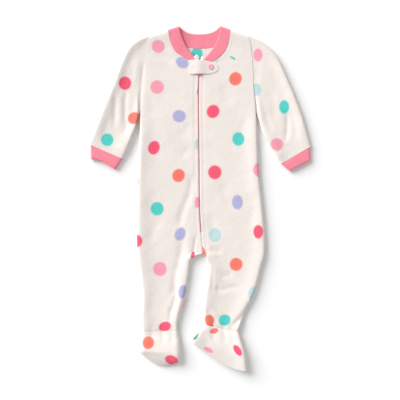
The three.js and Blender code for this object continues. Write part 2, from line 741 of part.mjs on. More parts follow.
// Height of the guard's upper side: it lies on the fronts and climbs over the slider
function guardHeight(point) {
  const slider = onPlan(sliderPlace.x, sliderPlace.y);
  const away = (point.x - slider.x) / sliderSize.width;
  return guardRest + guardOverSlider * Math.exp(-(away ** 4));
}

function makeGuard() {
  const acrossCells = 5;
  const places = placesAlong(guardRows, 2);
  const grid = places.map((place) => {
    const top = pointAt(guardRows, 'top', place);
    const bottom = pointAt(guardRows, 'bottom', place);
    return Array.from({ length: acrossCells + 1 }, (_, index) => {
      const point = top.clone().lerp(bottom, index / acrossCells);
      return point.setZ(guardHeight(point));
    });
  });
  return clothWall('zip_guard', grid, guardCloth, 1, fleeceMaterial());
}

function makeSnapCap() {
  const radius = snapDiameter / 2;
  const profile = [
    [0, 0],
    [radius - 0.4, 0],
    [radius, 0.4],
    [radius - 0.2, 1.1],
    [radius - 1.0, snapThickness],
    [radius - 1.9, snapThickness - 0.1],
    [radius - 2.5, snapThickness - 0.6],
    [0, snapThickness - 0.6],
  ].map(([across, high]) => new THREE.Vector2(across, high));
  const geometry = new THREE.LatheGeometry(profile, snapSides);
  const mesh = new THREE.Mesh(geometry, plasticMaterial());
  mesh.name = 'snap_cap';
  const place = onPlan(snapPlace.x, snapPlace.y);
  mesh.rotation.x = Math.PI / 2;
  mesh.position.set(place.x, place.y, guardRest + seamGap);
  return mesh;
}

// Slider with its pull tab folded down over the teeth, rounded like a shield
function makeSlider() {
  const { width, length, thickness } = sliderSize;
  const outline = new THREE.Shape();
  const half = width / 2;
  outline.moveTo(-half, length * 0.1);
  outline.quadraticCurveTo(-half, length / 2, 0, length / 2);
  outline.quadraticCurveTo(half, length / 2, half, length * 0.1);
  outline.lineTo(half * 0.72, -length * 0.32);
  outline.quadraticCurveTo(half * 0.6, -length / 2, 0, -length / 2);
  outline.quadraticCurveTo(-half * 0.6, -length / 2, -half * 0.72, -length * 0.32);
  outline.closePath();
  const plate = {
    depth: thickness - 2 * sliderBevel,
    bevelThickness: sliderBevel,
    bevelSize: sliderBevel,
    bevelSegments: 2,
    curveSegments: 5,
  };
  const geometry = new THREE.ExtrudeGeometry(outline, plate);
  const mesh = new THREE.Mesh(geometry, plasticMaterial());
  mesh.name = 'zip_slider';
  const place = onPlan(sliderPlace.x, sliderPlace.y);
  mesh.position.set(place.x, place.y, middleTop + seamGap + sliderBevel);
  return mesh;
}

const garment = new THREE.Group();
garment.add(makeFront('front_left', frontLeftRows, bandFrontLeftRows, leftLegFolds, -1));
garment.add(makeFront('front_right', frontRightRows, bandFrontRightRows, rightLegFolds, 1));
garment.add(makeBack());
garment.add(makeSleeve('sleeve_left', sleeveLeftRows, frontLeftRows, -1, -1, sleeveLeftFolds));
garment.add(makeSleeve('sleeve_right', sleeveRightRows, frontRightRows, 1, 1, sleeveRightFolds));
garment.add(makeTube('cuff_left', cuffLeftRows, ribKnit, -1, ribMaterial(), { bowPeak: lowBowPeak }));
garment.add(makeTube('cuff_right', cuffRightRows, ribKnit, 1, ribMaterial()));
garment.add(makeNeckband());
garment.add(makeZipTape('zip_tape_left', -1));
garment.add(makeZipTape('zip_tape_right', 1));
garment.add(makeSlider());
garment.add(makeGuard());
garment.add(makeSnapCap());
garment.add(makeFootPanel('foot_upper_left', footUpperLeftRows, -1, false));
garment.add(makeFootPanel('foot_sole_left', footSoleLeftRows, 1, true));
garment.add(makeTube('foot_upper_right', footUpperRightRows, fleece, 1, fleeceMaterial(), {
  steps: 2,
  topAt: sideFootTop,
  bowPeak: lowBowPeak,
}));
garment.add(makeSideSole());

export default garment;
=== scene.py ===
import bisect
import math
import bmesh
import bpy
from mathutils.bvhtree import BVHTree
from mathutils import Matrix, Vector, noise


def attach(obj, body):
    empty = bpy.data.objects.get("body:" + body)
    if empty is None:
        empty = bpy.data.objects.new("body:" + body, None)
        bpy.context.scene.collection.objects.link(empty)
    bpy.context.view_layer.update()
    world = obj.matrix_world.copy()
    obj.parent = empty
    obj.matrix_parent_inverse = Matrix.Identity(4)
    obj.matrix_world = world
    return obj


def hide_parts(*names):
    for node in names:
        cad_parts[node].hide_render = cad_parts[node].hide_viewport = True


# Footed fleece sleepsuit, laid flat on its back and seen from straight above.
# Left and right are seen from the front, so left is the -X side.

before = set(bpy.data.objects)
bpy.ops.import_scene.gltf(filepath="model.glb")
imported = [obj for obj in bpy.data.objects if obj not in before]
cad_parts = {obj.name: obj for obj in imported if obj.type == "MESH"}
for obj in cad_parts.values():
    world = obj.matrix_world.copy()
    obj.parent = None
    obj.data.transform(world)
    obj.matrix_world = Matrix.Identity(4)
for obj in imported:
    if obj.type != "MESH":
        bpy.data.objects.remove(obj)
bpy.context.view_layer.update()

# plan paper: x to the right and y down, in squares; everything else is in metres
plan = {"square": 0.658 / 346.3, "middleX": 200.0, "middleY": 199.65}
mm = 0.001


def onPlan(x, y, z=0.0):
    return Vector(((x - plan["middleX"]) * plan["square"], (plan["middleY"] - y) * plan["square"], z))


def readTable(names, rows):
    # a row may leave out the zeros at its end
    names = names.split()
    return [{**dict.fromkeys(names, 0), **dict(zip(names, row))} for row in rows]


def addObject(name, data):
    obj = bpy.data.objects.new(name, data)
    bpy.context.scene.collection.objects.link(obj)
    return obj


def setInputs(node, values):
    for name, value in values.items():
        node.inputs[name].default_value = value


# camera and studio

studio = {
    "lens": 85.0,
    "sensor": 36.0,
    "viewWidth": 0.76,
    "clipEnd": 50,
    "aimY": -0.0007,
    "floorColor": (0.985, 0.985, 0.985),
    "floorSize": 8.0,
    "floorDrop": 0.2 * mm,
    "worldLight": 0.5,
    "keyStrength": 4.1,
    "keySoftness": 46.0,
    "keyPlace": (-1.05, 0.85, 0.63),
}


def makeCamera():
    data = bpy.data.cameras.new("photoCamera")
    data.sensor_width = studio["sensor"]
    data.lens = studio["lens"]
    data.clip_end = studio["clipEnd"]
    cam = addObject("photoCamera", data)
    cam.location = (0, studio["aimY"], studio["viewWidth"] * studio["lens"] / studio["sensor"])
    bpy.context.scene.camera = cam


def makeKeyLight():
    data = bpy.data.lights.new("windowKey", "SUN")
    data.energy = studio["keyStrength"]
    data.angle = math.radians(studio["keySoftness"])
    light = addObject("windowKey", data)
    light.location = studio["keyPlace"]
    light.rotation_euler = (-Vector(studio["keyPlace"])).to_track_quat("-Z", "Y").to_euler()


def makeFloor():
    half = studio["floorSize"] / 2
    corners = [(-half, -half, 0), (half, -half, 0), (half, half, 0), (-half, half, 0)]
    mesh = bpy.data.meshes.new("paperFloor")
    mesh.from_pydata(corners, [], [(0, 1, 2, 3)])
    mat = bpy.data.materials.new("whitePaper")
    mat.use_nodes = True
    paper = {"Base Color": (*studio["floorColor"], 1), "Roughness": 0.9, "Specular IOR Level": 0.2}
    setInputs(mat.node_tree.nodes["Principled BSDF"], paper)
    mesh.materials.append(mat)
    floor = addObject("paperFloor", mesh)
    floor.location.z = -studio["floorDrop"]


def makeStudio():
    scene = bpy.context.scene
    scene.view_settings.view_transform = "Standard"
    world = bpy.data.worlds.new("softRoom")
    world.use_nodes = True
    background = world.node_tree.nodes["Background"]
    setInputs(background, {"Color": (1, 1, 1, 1), "Strength": studio["worldLight"]})
    scene.world = world
    makeKeyLight()
    makeFloor()


makeCamera()
makeStudio()
print("studio and camera ready")


# cloth: the lay's heights, and how finely the shells are made

lay = {
    "wall": 2.4 * mm,
    "ribWall": 2.3 * mm,
    "seam": 4.5 * mm,
    "seamGap": 0.15 * mm,
    "seamWidth": 0.07 * mm,
    "middle": 7.3 * mm,
    "rolled": 10.2 * mm,
    "lowest": 5.4 * mm,
    "roll": 5.0 * mm,
    "fade": 17 * mm,
    "step": 2.6 * mm,
    "ankleDip": 0.16,
    "ankleEase": 6 * mm,
    "wave": 0.55 * mm,
    "waveSize": 46 * mm,
    "quickWave": 0.35,
    "quickness": 2.7,
    "sharpAngle": 58,
}
swellMost = lay["rolled"] - lay["middle"]


def smoothAt(rows, name, place):
    start = min(int(place), len(rows) - 2)
    part = place - start
    a, b, c, d = (rows[min(max(i, 0), len(rows) - 1)][name] for i in range(start - 1, start + 3))
    bend = (2 * a - 5 * b + 4 * c - d) * part ** 2 + (3 * b - a - 3 * c + d) * part ** 3
    return b + 0.5 * ((c - a) * part + bend)


def pointAt(rows, end, place):
    return onPlan(smoothAt(rows, end + "X", place), smoothAt(rows, end + "Y", place))


def edgePoints(rows, place, start="outer", end="inner"):
    # a row's two ends and its width
    first, last = pointAt(rows, start, place), pointAt(rows, end, place)
    return first, last, (last - first).length


def rowPoint(rows, place, share, peak=0.5):
    # a point between the ends of a row that bows down the plan, most at the share called peak
    outer, inner = edgePoints(rows, place)[:2]
    point = outer.lerp(inner, share)
    bow = smoothAt(rows, "bow", place) * plan["square"]
    point.y -= bow * math.sin(math.pi * share ** (math.log(0.5) / math.log(peak)))
    return point


def clamp01(value):
    return min(max(value, 0.0), 1.0)


def smoothStep(value, low, high):
    t = clamp01((value - low) / (high - low))
    return t * t * (3 - 2 * t)


def evenPlaces(rows, step, ends=("outer", "inner"), first=0, last=None, samples=400):
    # places along a table whose points lie about one step apart
    last = len(rows) - 1 if last is None else last
    fine = [first + (last - first) * i / samples for i in range(samples + 1)]
    run = [0.0]
    for before, after in zip(fine, fine[1:]):
        run.append(run[-1] + max((pointAt(rows, e, after) - pointAt(rows, e, before)).length for e in ends))
    count = max(2, round(run[-1] / step))
    places = []
    for i in range(count + 1):
        target = run[-1] * i / count
        at = min(max(bisect.bisect_left(run, target), 1), samples)
        part = (target - run[at - 1]) / max(run[at] - run[at - 1], 1e-9)
        places.append(fine[at - 1] + (fine[at] - fine[at - 1]) * part)
    places[-1] = last
    return places


def spacing(width, middleCells, radius, edgeCells=6):
    edge = [radius * (1 - math.cos(math.pi / 2 * i / edgeCells)) for i in range(edgeCells + 1)]
    inner = [radius + (width - 2 * radius) * i / middleCells for i in range(1, middleCells)]
    return edge + inner + [width - d for d in reversed(edge)]


def rise(distance, radius=None):
    radius = radius or lay["roll"]
    if distance >= radius:
        return 1.0
    return math.sqrt(max(0.0, 1 - (1 - distance / radius) ** 2))


def partRise(distance, weight):
    return 1 - weight * (1 - rise(distance))


def puff(distance, weight):
    past = max(0.0, distance - lay["roll"])
    return weight * swellMost * math.exp(-((past / lay["fade"]) ** 2))


def tubeTop(distance, width, middle=None):
    # height of a flat tube's upper side: rolled over at its edges, lower in its middle
    top = (middle or lay["middle"]) + min(puff(distance, 1) + puff(width - distance, 1), swellMost)
    return lay["seam"] + (top - lay["seam"]) * rise(distance) * rise(width - distance)


def creaseAt(point, creases):
    # each crease is a trough or a ridge, deepest in its middle and gone at its ends
    height = 0.0
    for c in creases:
        start = onPlan(c["fromX"], c["fromY"])
        run = onPlan(c["toX"], c["toY"]) - start
        side = Vector((-run.y, run.x, 0)).normalized()
        flat = Vector((point.x, point.y, 0)) - start
        along = flat.dot(run) / run.length_squared
        if along < -0.25 or along > 1.25:
            continue
        bent = flat.dot(side) - c["bend"] * mm * math.sin(math.pi * clamp01(along))
        end = smoothStep(along, -0.2, 0.25) * (1 - smoothStep(along, 0.75, 1.2))
        width = c["width"] * mm
        height -= c["depth"] * mm * end * math.exp(-((bent / width) ** 2))
    return height


def waveAt(point, seed):
    size, quickness = lay["waveSize"], lay["quickness"]
    slow = noise.noise(Vector((point.x / size, point.y / size, seed)))
    quick = noise.noise(Vector((point.x / size * quickness, point.y / size * quickness, seed + 9)))
    return lay["wave"] * (slow + lay["quickWave"] * quick)


def linkMesh(name, verts, faces, material, uvs=None):
    mesh = bpy.data.meshes.new(name)
    mesh.from_pydata(verts, [], faces)
    if uvs:
        layer = mesh.uv_layers.new(name="clothMap")
        layer.data.foreach_set("uv", [value for corner in uvs for value in corner])
    mesh.materials.append(material)
    mesh.polygons.foreach_set("use_smooth", [True] * len(mesh.polygons))
    return addObject(name, mesh)


def rowMap(line, middle):
    # plan places of a row's points once the cloth is rolled out flat from its middle point
    end = line[2 * middle] if 2 * middle < len(line) else line[-1]
    run = Vector((end.x - line[0].x, end.y - line[0].y)).normalized()
    origin = Vector((line[middle].x, line[middle].y))
    places = []
    for i, point in enumerate(line):
        step = 1 if i > middle else -1
        flat = sum((line[k] - line[k - step]).length for k in range(middle + step, i + step, step))
        aside = (Vector((point.x, point.y)) - origin).dot(Vector((-run.y, run.x)))
        places.append(origin + run * flat * step + Vector((-run.y, run.x)) * aside)
    return places


def clothGrid(name, grid, wall, material, facing, ring=False, keeps=None):
    # faces from rows of points on the outer side, thickened inwards to a closed wall
    rows, columns = len(grid), len(grid[0])
    middle = columns // 4 if ring else columns // 2
    maps = [rowMap(line + [line[0]] if ring else line, middle) for line in grid]
    faces, uvs = [], []
    for r in range(rows - 1):
        for c in range(columns if ring else columns - 1):
            if keeps and not keeps(r, c):
                continue
            cell = [(r, c), (r, c + 1), (r + 1, c + 1), (r + 1, c)]
            if facing < 0:
                cell.reverse()
            faces.append([row * columns + column % columns for row, column in cell])
            uvs += [tuple(maps[row][column]) for row, column in cell]
    verts = [point[:] for line in grid for point in line]
    obj = linkMesh(name, verts, faces, material, uvs)
    thick = obj.modifiers.new("wall", "SOLIDIFY")
    thick.thickness = wall
    thick.offset = -1
    return settle(obj)


def settle(obj):
    # the modifiers' result becomes the object's own mesh, without points that no face uses
    depsgraph = bpy.context.evaluated_depsgraph_get()
    done = bpy.data.meshes.new_from_object(obj.evaluated_get(depsgraph), depsgraph=depsgraph)
    obj.modifiers.clear()
    old = obj.data
    obj.data = done
    bpy.data.meshes.remove(old)
    done.name = obj.name
    body = bmesh.new()
    body.from_mesh(done)
    bmesh.ops.delete(body, geom=[v for v in body.verts if not v.link_faces], context="VERTS")
    body.to_mesh(done)
    body.free()
    done.set_sharp_from_angle(angle=math.radians(lay["sharpAngle"]))
    return obj


# plan tables of the cut pieces as they lie

frontNames = "outerX outerY innerX innerY outerRoll innerRoll"
frontLeftRows = readTable(frontNames, [
    (149, 36.5, 168, 30.5), (148, 44, 169.9, 40.5), (145.6, 55, 175, 52.4), (142.9, 68, 186.9, 60),
    (141.4, 86, 197.4, 68.2), (140.6, 112, 197.7, 92, 0.2), (139.5, 140, 198, 128, 1),
    (138.4, 172, 198.3, 166, 1), (137.4, 212, 198.8, 206, 1), (137, 236, 200.1, 231, 1),
    (137.4, 250, 202.8, 253.4, 1, 0.3), (138, 256, 197.6, 254.8, 1, 1), (138.5, 262, 191.6, 259, 1, 1),
    (140.7, 278.6, 188.3, 278.6, 1, 1), (142.3, 296, 184.6, 298, 1, 1),
    (141.4, 312.5, 180.8, 311, 1, 1), (141.5, 321.8, 178.4, 321, 1, 1),
    (142.2, 331, 178.4, 330.6, 1, 1),
])
frontRightRows = readTable(frontNames, [
    (248.8, 36, 230.9, 30.5), (250.2, 44.5, 229.5, 40.5), (251.6, 56, 225.3, 51.8),
    (252.6, 68, 213.4, 62.2), (253.2, 86, 201.7, 68.2), (255.6, 112, 199.4, 92, 0.2),
    (257.6, 140, 199.6, 128, 1), (258.8, 172, 199.9, 166, 1), (262.6, 208, 200.4, 206, 1),
    (264.6, 232, 201.7, 231, 1), (265.2, 246, 203.4, 251, 1, 0.3), (264.4, 256, 204.6, 257.2, 1, 1),
    (261.5, 266, 208.6, 265.6, 1, 1), (257.5, 282, 207.7, 279, 1, 1), (253.6, 294, 205, 292, 1, 1),
    (247, 308.5, 203.2, 306, 1, 1), (242, 320, 203.8, 316, 1, 1), (238.8, 331, 205.2, 324.4, 1, 1),
])
sleeveNames = "outerX outerY innerX innerY bow"
sleeveLeftRows = readTable(sleeveNames, [
    (149, 36.5, 140.4, 112.6), (139.5, 40.2, 139, 117), (131, 46, 137.6, 122),
    (124.5, 56.5, 136.2, 127), (119, 70, 134.6, 132), (113.2, 85, 132.2, 138), (106, 101.5, 129.6, 145),
    (98, 121.5, 126.6, 152), (89.3, 144.3, 123.2, 159.2),
])
sleeveRightRows = readTable(sleeveNames, [
    (248.8, 36, 255.9, 112.6), (258.5, 40.2, 257.5, 117), (267.5, 46.5, 259.2, 122),
    (275.5, 55, 260.9, 128.5), (281, 65, 263, 135), (287.5, 79.5, 266, 140.5), (295, 97, 270.5, 148),
    (303, 119, 275.5, 156.5), (310.6, 146.6, 280.6, 163.8),
])
cuffLeftRows = readTable(sleeveNames, [
    (91.1, 144.9, 122.2, 158.9), (91.1, 149.6, 120.4, 162.2, -0.8), (91.1, 154.6, 118, 165.9, -1.8),
    (91.2, 159.6, 115.4, 169.7, -2.7),
])
cuffRightRows = readTable(sleeveNames, [
    (309.4, 147.6, 281.4, 163.5), (309.4, 151.5, 283.8, 166, 0.1), (309.7, 155.7, 286.4, 168.5, 0.2),
    (309.9, 159.9, 288.9, 170.9, 0.3),
])
bandNames = "seamX seamY rimX rimY"
bandFrontLeftRows = readTable(bandNames, [
    (197.2, 67.9, 199.1, 60.4), (192.3, 63.6, 195.6, 58), (187.2, 59.9, 191.4, 54.4),
    (181.4, 56.5, 187.6, 49.2), (175.4, 52.2, 184.6, 43.5), (171.6, 45.6, 182, 37),
    (169.3, 37, 180.2, 31), (168.2, 30.3, 179.3, 26.8),
])
bandFrontRightRows = readTable(bandNames, [
    (201.6, 67.9, 200.9, 60.4), (206.6, 65.3, 203.8, 58.4), (212.8, 62.1, 207.2, 56.4),
    (219.2, 58.1, 210.6, 52), (224.6, 52.2, 213.8, 47.2), (228, 45.6, 217, 40.4),
    (229.8, 37, 219.4, 32.4), (230.7, 30.3, 220.2, 26.6),
])
bandBackRows = readTable(bandNames, [
    (168.2, 30.3, 179.3, 26.8), (171.2, 35.6, 181.6, 29.2), (176, 41.2, 184.6, 31.4),
    (182.4, 45.8, 188.6, 33.4), (190.6, 48.2, 193.8, 34.5), (200, 48.8, 199.8, 34.7),
    (209.2, 48.2, 205.9, 34.3), (217, 45.8, 211.4, 33.1), (223.2, 41.2, 215.4, 31.2),
    (227.8, 35.6, 218.2, 29), (230.7, 30.3, 220.2, 26.6),
])
footNames = "outerX outerY innerX innerY bow crown side"
footUpperLeftRows = readTable(footNames, [
    (142.2, 331.05, 178.4, 330.65, 0, 8.8, 4.8), (140.8, 338, 179.6, 337.6, 1.6, 11.2, 5.2),
    (139.9, 344.4, 180.8, 345, 1.6, 13.6, 5.8), (139.4, 348.2, 181.4, 352.6, 0.2, 15, 6.4),
    (139.4, 350.6, 180.6, 358.4, -1.6, 14.6, 7.2), (140.4, 352, 178.6, 362.2, -2.2, 13.6, 8),
])
footSoleLeftRows = readTable(footNames, [
    (142.2, 331.1, 178.4, 330.7, 0, 0, 4.5), (140.8, 338, 179.6, 337.6, 0, 0, 4.9),
    (139.9, 344.4, 180.8, 345, 0, 0, 5.5), (139.6, 350.4, 181.2, 354.6, 2, 0, 6.1),
    (140.6, 352.8, 180.4, 358.6, 5.6, 0.4, 6.4), (141.6, 354, 179.6, 360.8, 7.6, 4.8, 6.8),
    (141.2, 353, 178.8, 362, 2.8, 10.7, 7.6),
])
footUpperRightRows = readTable("outerX outerY innerX innerY bow crown", [
    (238.8, 331.1, 205.15, 324.5, 0, 8.2), (240.8, 337.5, 200.8, 328.8, 0.6, 10.8),
    (243.4, 345.5, 196.6, 333.6, 2.2, 13.4), (245.8, 356, 193.2, 336.6, 4.2, 15),
    (247.2, 368.6, 192.2, 340.2, 5.9, 13.8),
])
zipRows = readTable("lineX lineY", [
    (199.3, 68.6), (198.6, 92), (198.8, 128), (199.1, 166), (199.6, 206), (200.9, 231),
])
guardRows = readTable("topX topY bottomX bottomY", [
    (189, 60.7, 189.4, 75), (193.4, 60.4, 193.6, 74.9), (198.2, 60.6, 198.2, 74.5),
    (203, 61, 203, 74.5), (207.6, 61.7, 207.8, 74.7), (211.8, 62.6, 212, 74.1),
    (215.2, 63.9, 215.2, 73.1), (217.4, 65.9, 217.4, 71.5), (218.2, 67.9, 218.2, 69.6),
])


# cloth shells: the two fronts

neckRow, underarmRow, zipEndRow, forkRow, crotchRow = 4, 5, 9, 10, 12
shoulderPlaces, shoulderLast = [0, 0.015, 0.05, 0.1, 0.16], 0.23
frontLook = {
    "armWeight": 0.04,
    "armEase": 8 * mm,
    "zipWeight": 0.3,
    "zipEase": 2.6 * mm,
    "zipClose": 0.75 * mm,
    "shoulderPuff": 0.6,
    "guard": (203, 68),
    "guardCalm": (22 * mm, 48 * mm),
    "edgeCalm": 20 * mm,
    "grooveFrom": 6.8 * mm,
    "grooveWidth": 1.5 * mm,
    "grooveDepth": 0.55 * mm,
    "cells": 42,
}


def frontHeight(point, spec, far, shoulderRun):
    # far holds the distances to the outer edge and the inner edge
    look = frontLook
    outerRoll, innerRoll = spec["outerRoll"], spec["innerRoll"]
    zipSide = look["zipWeight"] * spec["zipShare"]
    raised = partRise(far[0], outerRoll) * partRise(far[1], innerRoll) * rise(shoulderRun)
    raised *= 1 - look["armWeight"] * (1 - outerRoll) * (1 - rise(far[0], look["armEase"]))
    raised *= 1 - zipSide * (1 - innerRoll) * (1 - rise(far[1], look["zipEase"]))
    swell = puff(far[0], outerRoll) + puff(far[1], innerRoll) + puff(shoulderRun, look["shoulderPuff"])
    top = lay["middle"] + min(swell, swellMost)
    fromGuard = (Vector((point.x, point.y, 0)) - onPlan(*look["guard"])).length
    calm = smoothStep(fromGuard, *look["guardCalm"])
    calm *= outerRoll + (1 - outerRoll) * smoothStep(far[0], 0, look["edgeCalm"])
    calm *= smoothStep(spec["ankleRun"], 0, look["edgeCalm"])
    top += creaseAt(point, spec["creases"]) + waveAt(point, spec["seed"]) * calm
    fromLine = (far[1] - look["grooveFrom"]) / look["grooveWidth"]
    groove = look["grooveDepth"] * math.exp(-(fromLine ** 2))
    top -= groove * (1 - innerRoll) * spec["zipShare"]
    low = lay["seam"] + lay["seamGap"]
    ankle = 1 - lay["ankleDip"] * (1 - rise(spec["ankleRun"], lay["ankleEase"]))
    return low + (max(top, lay["lowest"]) - low) * raised * ankle


def neckSeam(rows, place, gap=lay["seamWidth"]):
    seam, rim = pointAt(rows, "seam", place), pointAt(rows, "rim", place)
    return seam + (seam - rim).normalized() * gap


def frontInner(rows, place, facing):
    # the edge beside the zip, then the seam below it, then the crotch edge and the inside leg
    inner = pointAt(rows, "inner", place)
    if forkRow < place < crotchRow:
        start = int(place)
        inner = pointAt(rows, "inner", start).lerp(pointAt(rows, "inner", start + 1), place - start)
    besideZip = smoothStep(place, neckRow - 0.4, neckRow + 0.2)
    besideZip *= 1 - smoothStep(place, zipEndRow + 0.4, forkRow)
    inner.x -= facing * frontLook["zipClose"] * besideZip
    seamTop, seamEnd = onPlan(200.9, 231), onPlan(203.2, 254)
    down = (inner.y - seamTop.y) / (seamEnd.y - seamTop.y)
    seamX = seamTop.lerp(seamEnd, down).x + facing * lay["seamWidth"]
    joined = smoothStep(place, zipEndRow - 0.02, zipEndRow + 0.13)
    joined *= 1 - smoothStep(place, forkRow, forkRow + 0.3)
    inner.x += (seamX - inner.x) * joined
    return inner


def makeFront(name, rows, bandRows, facing, material, creases, seed):
    bandEnd = len(bandRows) - 1
    shoulder, shoulderEnd = pointAt(rows, "outer", 0), neckSeam(bandRows, bandEnd)
    ankle = pointAt(rows, "outer", len(rows) - 1)
    spec = {"creases": creases, "seed": seed}
    grid = []
    for place in shoulderPlaces + evenPlaces(rows, lay["step"], first=shoulderLast):
        outer, inner = pointAt(rows, "outer", place), frontInner(rows, place, facing)
        if place <= neckRow:
            inner = neckSeam(bandRows, bandEnd * (1 - place / neckRow))
        width = (outer - inner).length
        for roll in ("outerRoll", "innerRoll"):
            spec[roll] = clamp01(smoothAt(rows, roll, place))
        spec["zipShare"] = smoothStep(place, neckRow - 0.3, neckRow + 0.2)
        spec["ankleRun"] = (ankle - outer).length
        line = []
        for distance in spacing(width, frontLook["cells"], lay["roll"]):
            share = distance / width
            point = outer.lerp(inner, share)
            run = (point - shoulder.lerp(shoulderEnd, share)).length
            point.z = frontHeight(point, spec, (distance, width - distance), run)
            line.append(point)
        grid.append(line)
    return clothGrid(name, grid, lay["wall"], material, facing)


# the back: one sheet from shoulders to ankles, forked at the crotch

backLook = {
    "step": lay["step"] * 1.3,
    "neckFrom": 0.19,
    "neckTo": 0.82,
    "neckGap": 0.4 * mm,
    "neckFade": 4.5,
    "forks": (0.43, 0.55),
    "arch": 7 * mm,
    "legCells": 26,
    "middleCells": 3,
}


def makeBack(name, material):
    look = backLook
    places = shoulderPlaces + evenPlaces(frontLeftRows, look["step"], first=shoulderLast, last=crotchRow)
    crotchAt = len(places) - 1
    places += evenPlaces(frontLeftRows, look["step"], first=crotchRow)[1:]
    crotchEdge = [onPlan(x, y) for x, y in ((191.6, 259.5), (197.6, 255.2), (203.5, 254.2), (208.6, 265.6))]
    topLeft, topRight = pointAt(frontLeftRows, "outer", 0), pointAt(frontRightRows, "outer", 0)
    bandEnd = len(bandBackRows) - 1
    neckFrom, neckTo, backGap = look["neckFrom"], look["neckTo"], look["neckGap"]
    middleCells = look["middleCells"]

    def topEdge(share):
        if share < neckFrom:
            return topLeft.lerp(neckSeam(bandBackRows, 0, backGap), share / neckFrom)
        if share > neckTo:
            return topRight.lerp(neckSeam(bandBackRows, bandEnd, backGap), (1 - share) / (1 - neckTo))
        return neckSeam(bandBackRows, bandEnd * (share - neckFrom) / (neckTo - neckFrom), backGap)

    grid = []
    for place in places:
        left, right = pointAt(frontLeftRows, "outer", place), pointAt(frontRightRows, "outer", place)
        above = max(0, crotchRow - place) * look["arch"]
        towards = smoothStep(place, forkRow - 1, crotchRow)
        isLeg = place >= crotchRow
        forks = []
        sides = (frontLeftRows, crotchEdge[0]), (frontRightRows, crotchEdge[3])
        for share, (rows, corner) in zip(look["forks"], sides):
            target = pointAt(rows, "inner", place) if isLeg else corner
            fork = left.lerp(right, share).lerp(target, towards)
            if not isLeg:
                fork.y = max(fork.y, corner.y + above)
            forks.append(fork)
        outerRoll = clamp01(smoothAt(frontLeftRows, "outerRoll", place))
        innerRoll = smoothStep(place, crotchRow - 0.6, crotchRow)
        neckShare = 1 - smoothStep(place, 0, look["neckFade"])
        line = []

        def shaped(point):
            share = clamp01((point.x - left.x) / (right.x - left.x))
            top = topEdge(share)
            point += (top - topLeft.lerp(topRight, share)) * neckShare
            return rise((point - top).length) if share < neckFrom or share > neckTo else 1

        def add(point, raised):
            point.z = (lay["seam"] - lay["seamGap"]) * (1 - raised)
            line.append(point)

        def fill(start, end, startRoll, endRoll):
            width = (end - start).length
            for distance in spacing(width, look["legCells"], lay["roll"]):
                point = start.lerp(end, distance / width)
                shoulderRise = shaped(point)
                add(point, partRise(distance, startRoll) * partRise(width - distance, endRoll) * shoulderRise)

        fill(left, forks[0], outerRoll, innerRoll)
        legCells = len(line) - 1
        for cell in range(1, middleCells):
            point = forks[0].lerp(forks[1], cell / middleCells).lerp(crotchEdge[cell], towards)
            point.y = max(point.y, crotchEdge[cell].y + above)
            shaped(point)
            add(point, 0 if isLeg else rise((point - crotchEdge[cell]).length))
        fill(forks[1], right, innerRoll, outerRoll)
        grid.append(line)

    def keeps(row, column):
        return row < crotchAt or column < legCells or column >= legCells + middleCells

    return clothGrid(name, grid, lay["wall"], material, 1, keeps=keeps)


# flat tubes: both sleeves and the right foot, which lies on its side

tubeLook = {
    "seamRows": 4,
    "calm": 20 * mm,
    "shoulderPuff": 0.6,
    "endFlat": 0.7,
    "seamFade": (6 * mm, 34 * mm),
    "shoulderFade": (24 * mm, 50 * mm),
    "underarmFade": 26 * mm,
    "underarmRows": (3, 5.5),
    "startEase": 8 * mm,
}


def makeTube(name, rows, facing, material, spec, seam=None, topAt=None):
    # over the top from the outer edge to the inner one and back underneath; seam gives the armhole
    look = tubeLook
    chordStart, chordEnd = edgePoints(rows, 0)[:2]
    last = len(rows) - 1
    grid = []
    for place in evenPlaces(rows, spec["step"] * mm):
        outer, inner, width = edgePoints(rows, place)
        top = topAt(place) if topAt else lay["middle"]
        startRun = (outer.lerp(inner, 0.5) - chordStart.lerp(chordEnd, 0.5)).length
        seamShare = 1 - smoothStep(place, 0, look["seamRows"]) if seam else 0
        endShare = smoothStep(place, last - 1, last) if seam else 0
        over, under = [], []
        for distance in spacing(width, spec["cells"], lay["roll"]):
            share = distance / width
            point = rowPoint(rows, place, share, spec["bowPeak"])
            if seamShare:
                point += (seam(share) - chordStart.lerp(chordEnd, share)) * seamShare
            raised = rise(distance) * rise(width - distance)
            run = (point - seam(share)).length if seam else startRun
            calm = smoothStep(run, 0, look["calm"])
            outerPuff = look["shoulderPuff"] + (1 - look["shoulderPuff"]) * calm if seam else 1
            swell = puff(distance, outerPuff) + puff(width - distance, calm if seam else 1)
            swell = min(swell, swellMost) * (1 - look["endFlat"] * endShare)
            high = top + swell + creaseAt(point, spec["creases"]) + waveAt(point, spec["seed"]) * calm
            if seam:
                nearSeam = 1 - smoothStep(run, *look["seamFade"])
                nearSeam *= smoothStep(distance, *look["shoulderFade"])
                underarm = 1 - smoothStep(width - distance, 0, look["underarmFade"])
                underarm *= 1 - smoothStep(place, *look["underarmRows"])
                high -= (spec["seamStep"] * nearSeam + spec["underarmDip"] * underarm) * mm
            raised *= 1 - spec["seamDip"] * (1 - rise(run, look["startEase"]))
            high = max(high, lay["lowest"])
            over.append(Vector((point.x, point.y, lay["seam"] + (high - lay["seam"]) * raised)))
            under.append(Vector((point.x, point.y, lay["seam"] * (1 - raised))))
        grid.append(over + under[-2:0:-1])
    return clothGrid(name, grid, lay["wall"], material, facing, ring=True)


def makeSleeve(name, rows, frontRows, side, material, spec):
    # side is -1 for the left sleeve and 1 for the right one
    def seam(share):
        point = pointAt(frontRows, "outer", share * underarmRow)
        point.x += side * lay["seamWidth"]
        return point

    return makeTube(name, rows, side, material, spec, seam=seam)


# feet: a dome over its sole on the left, a tube with a narrow sole on the right

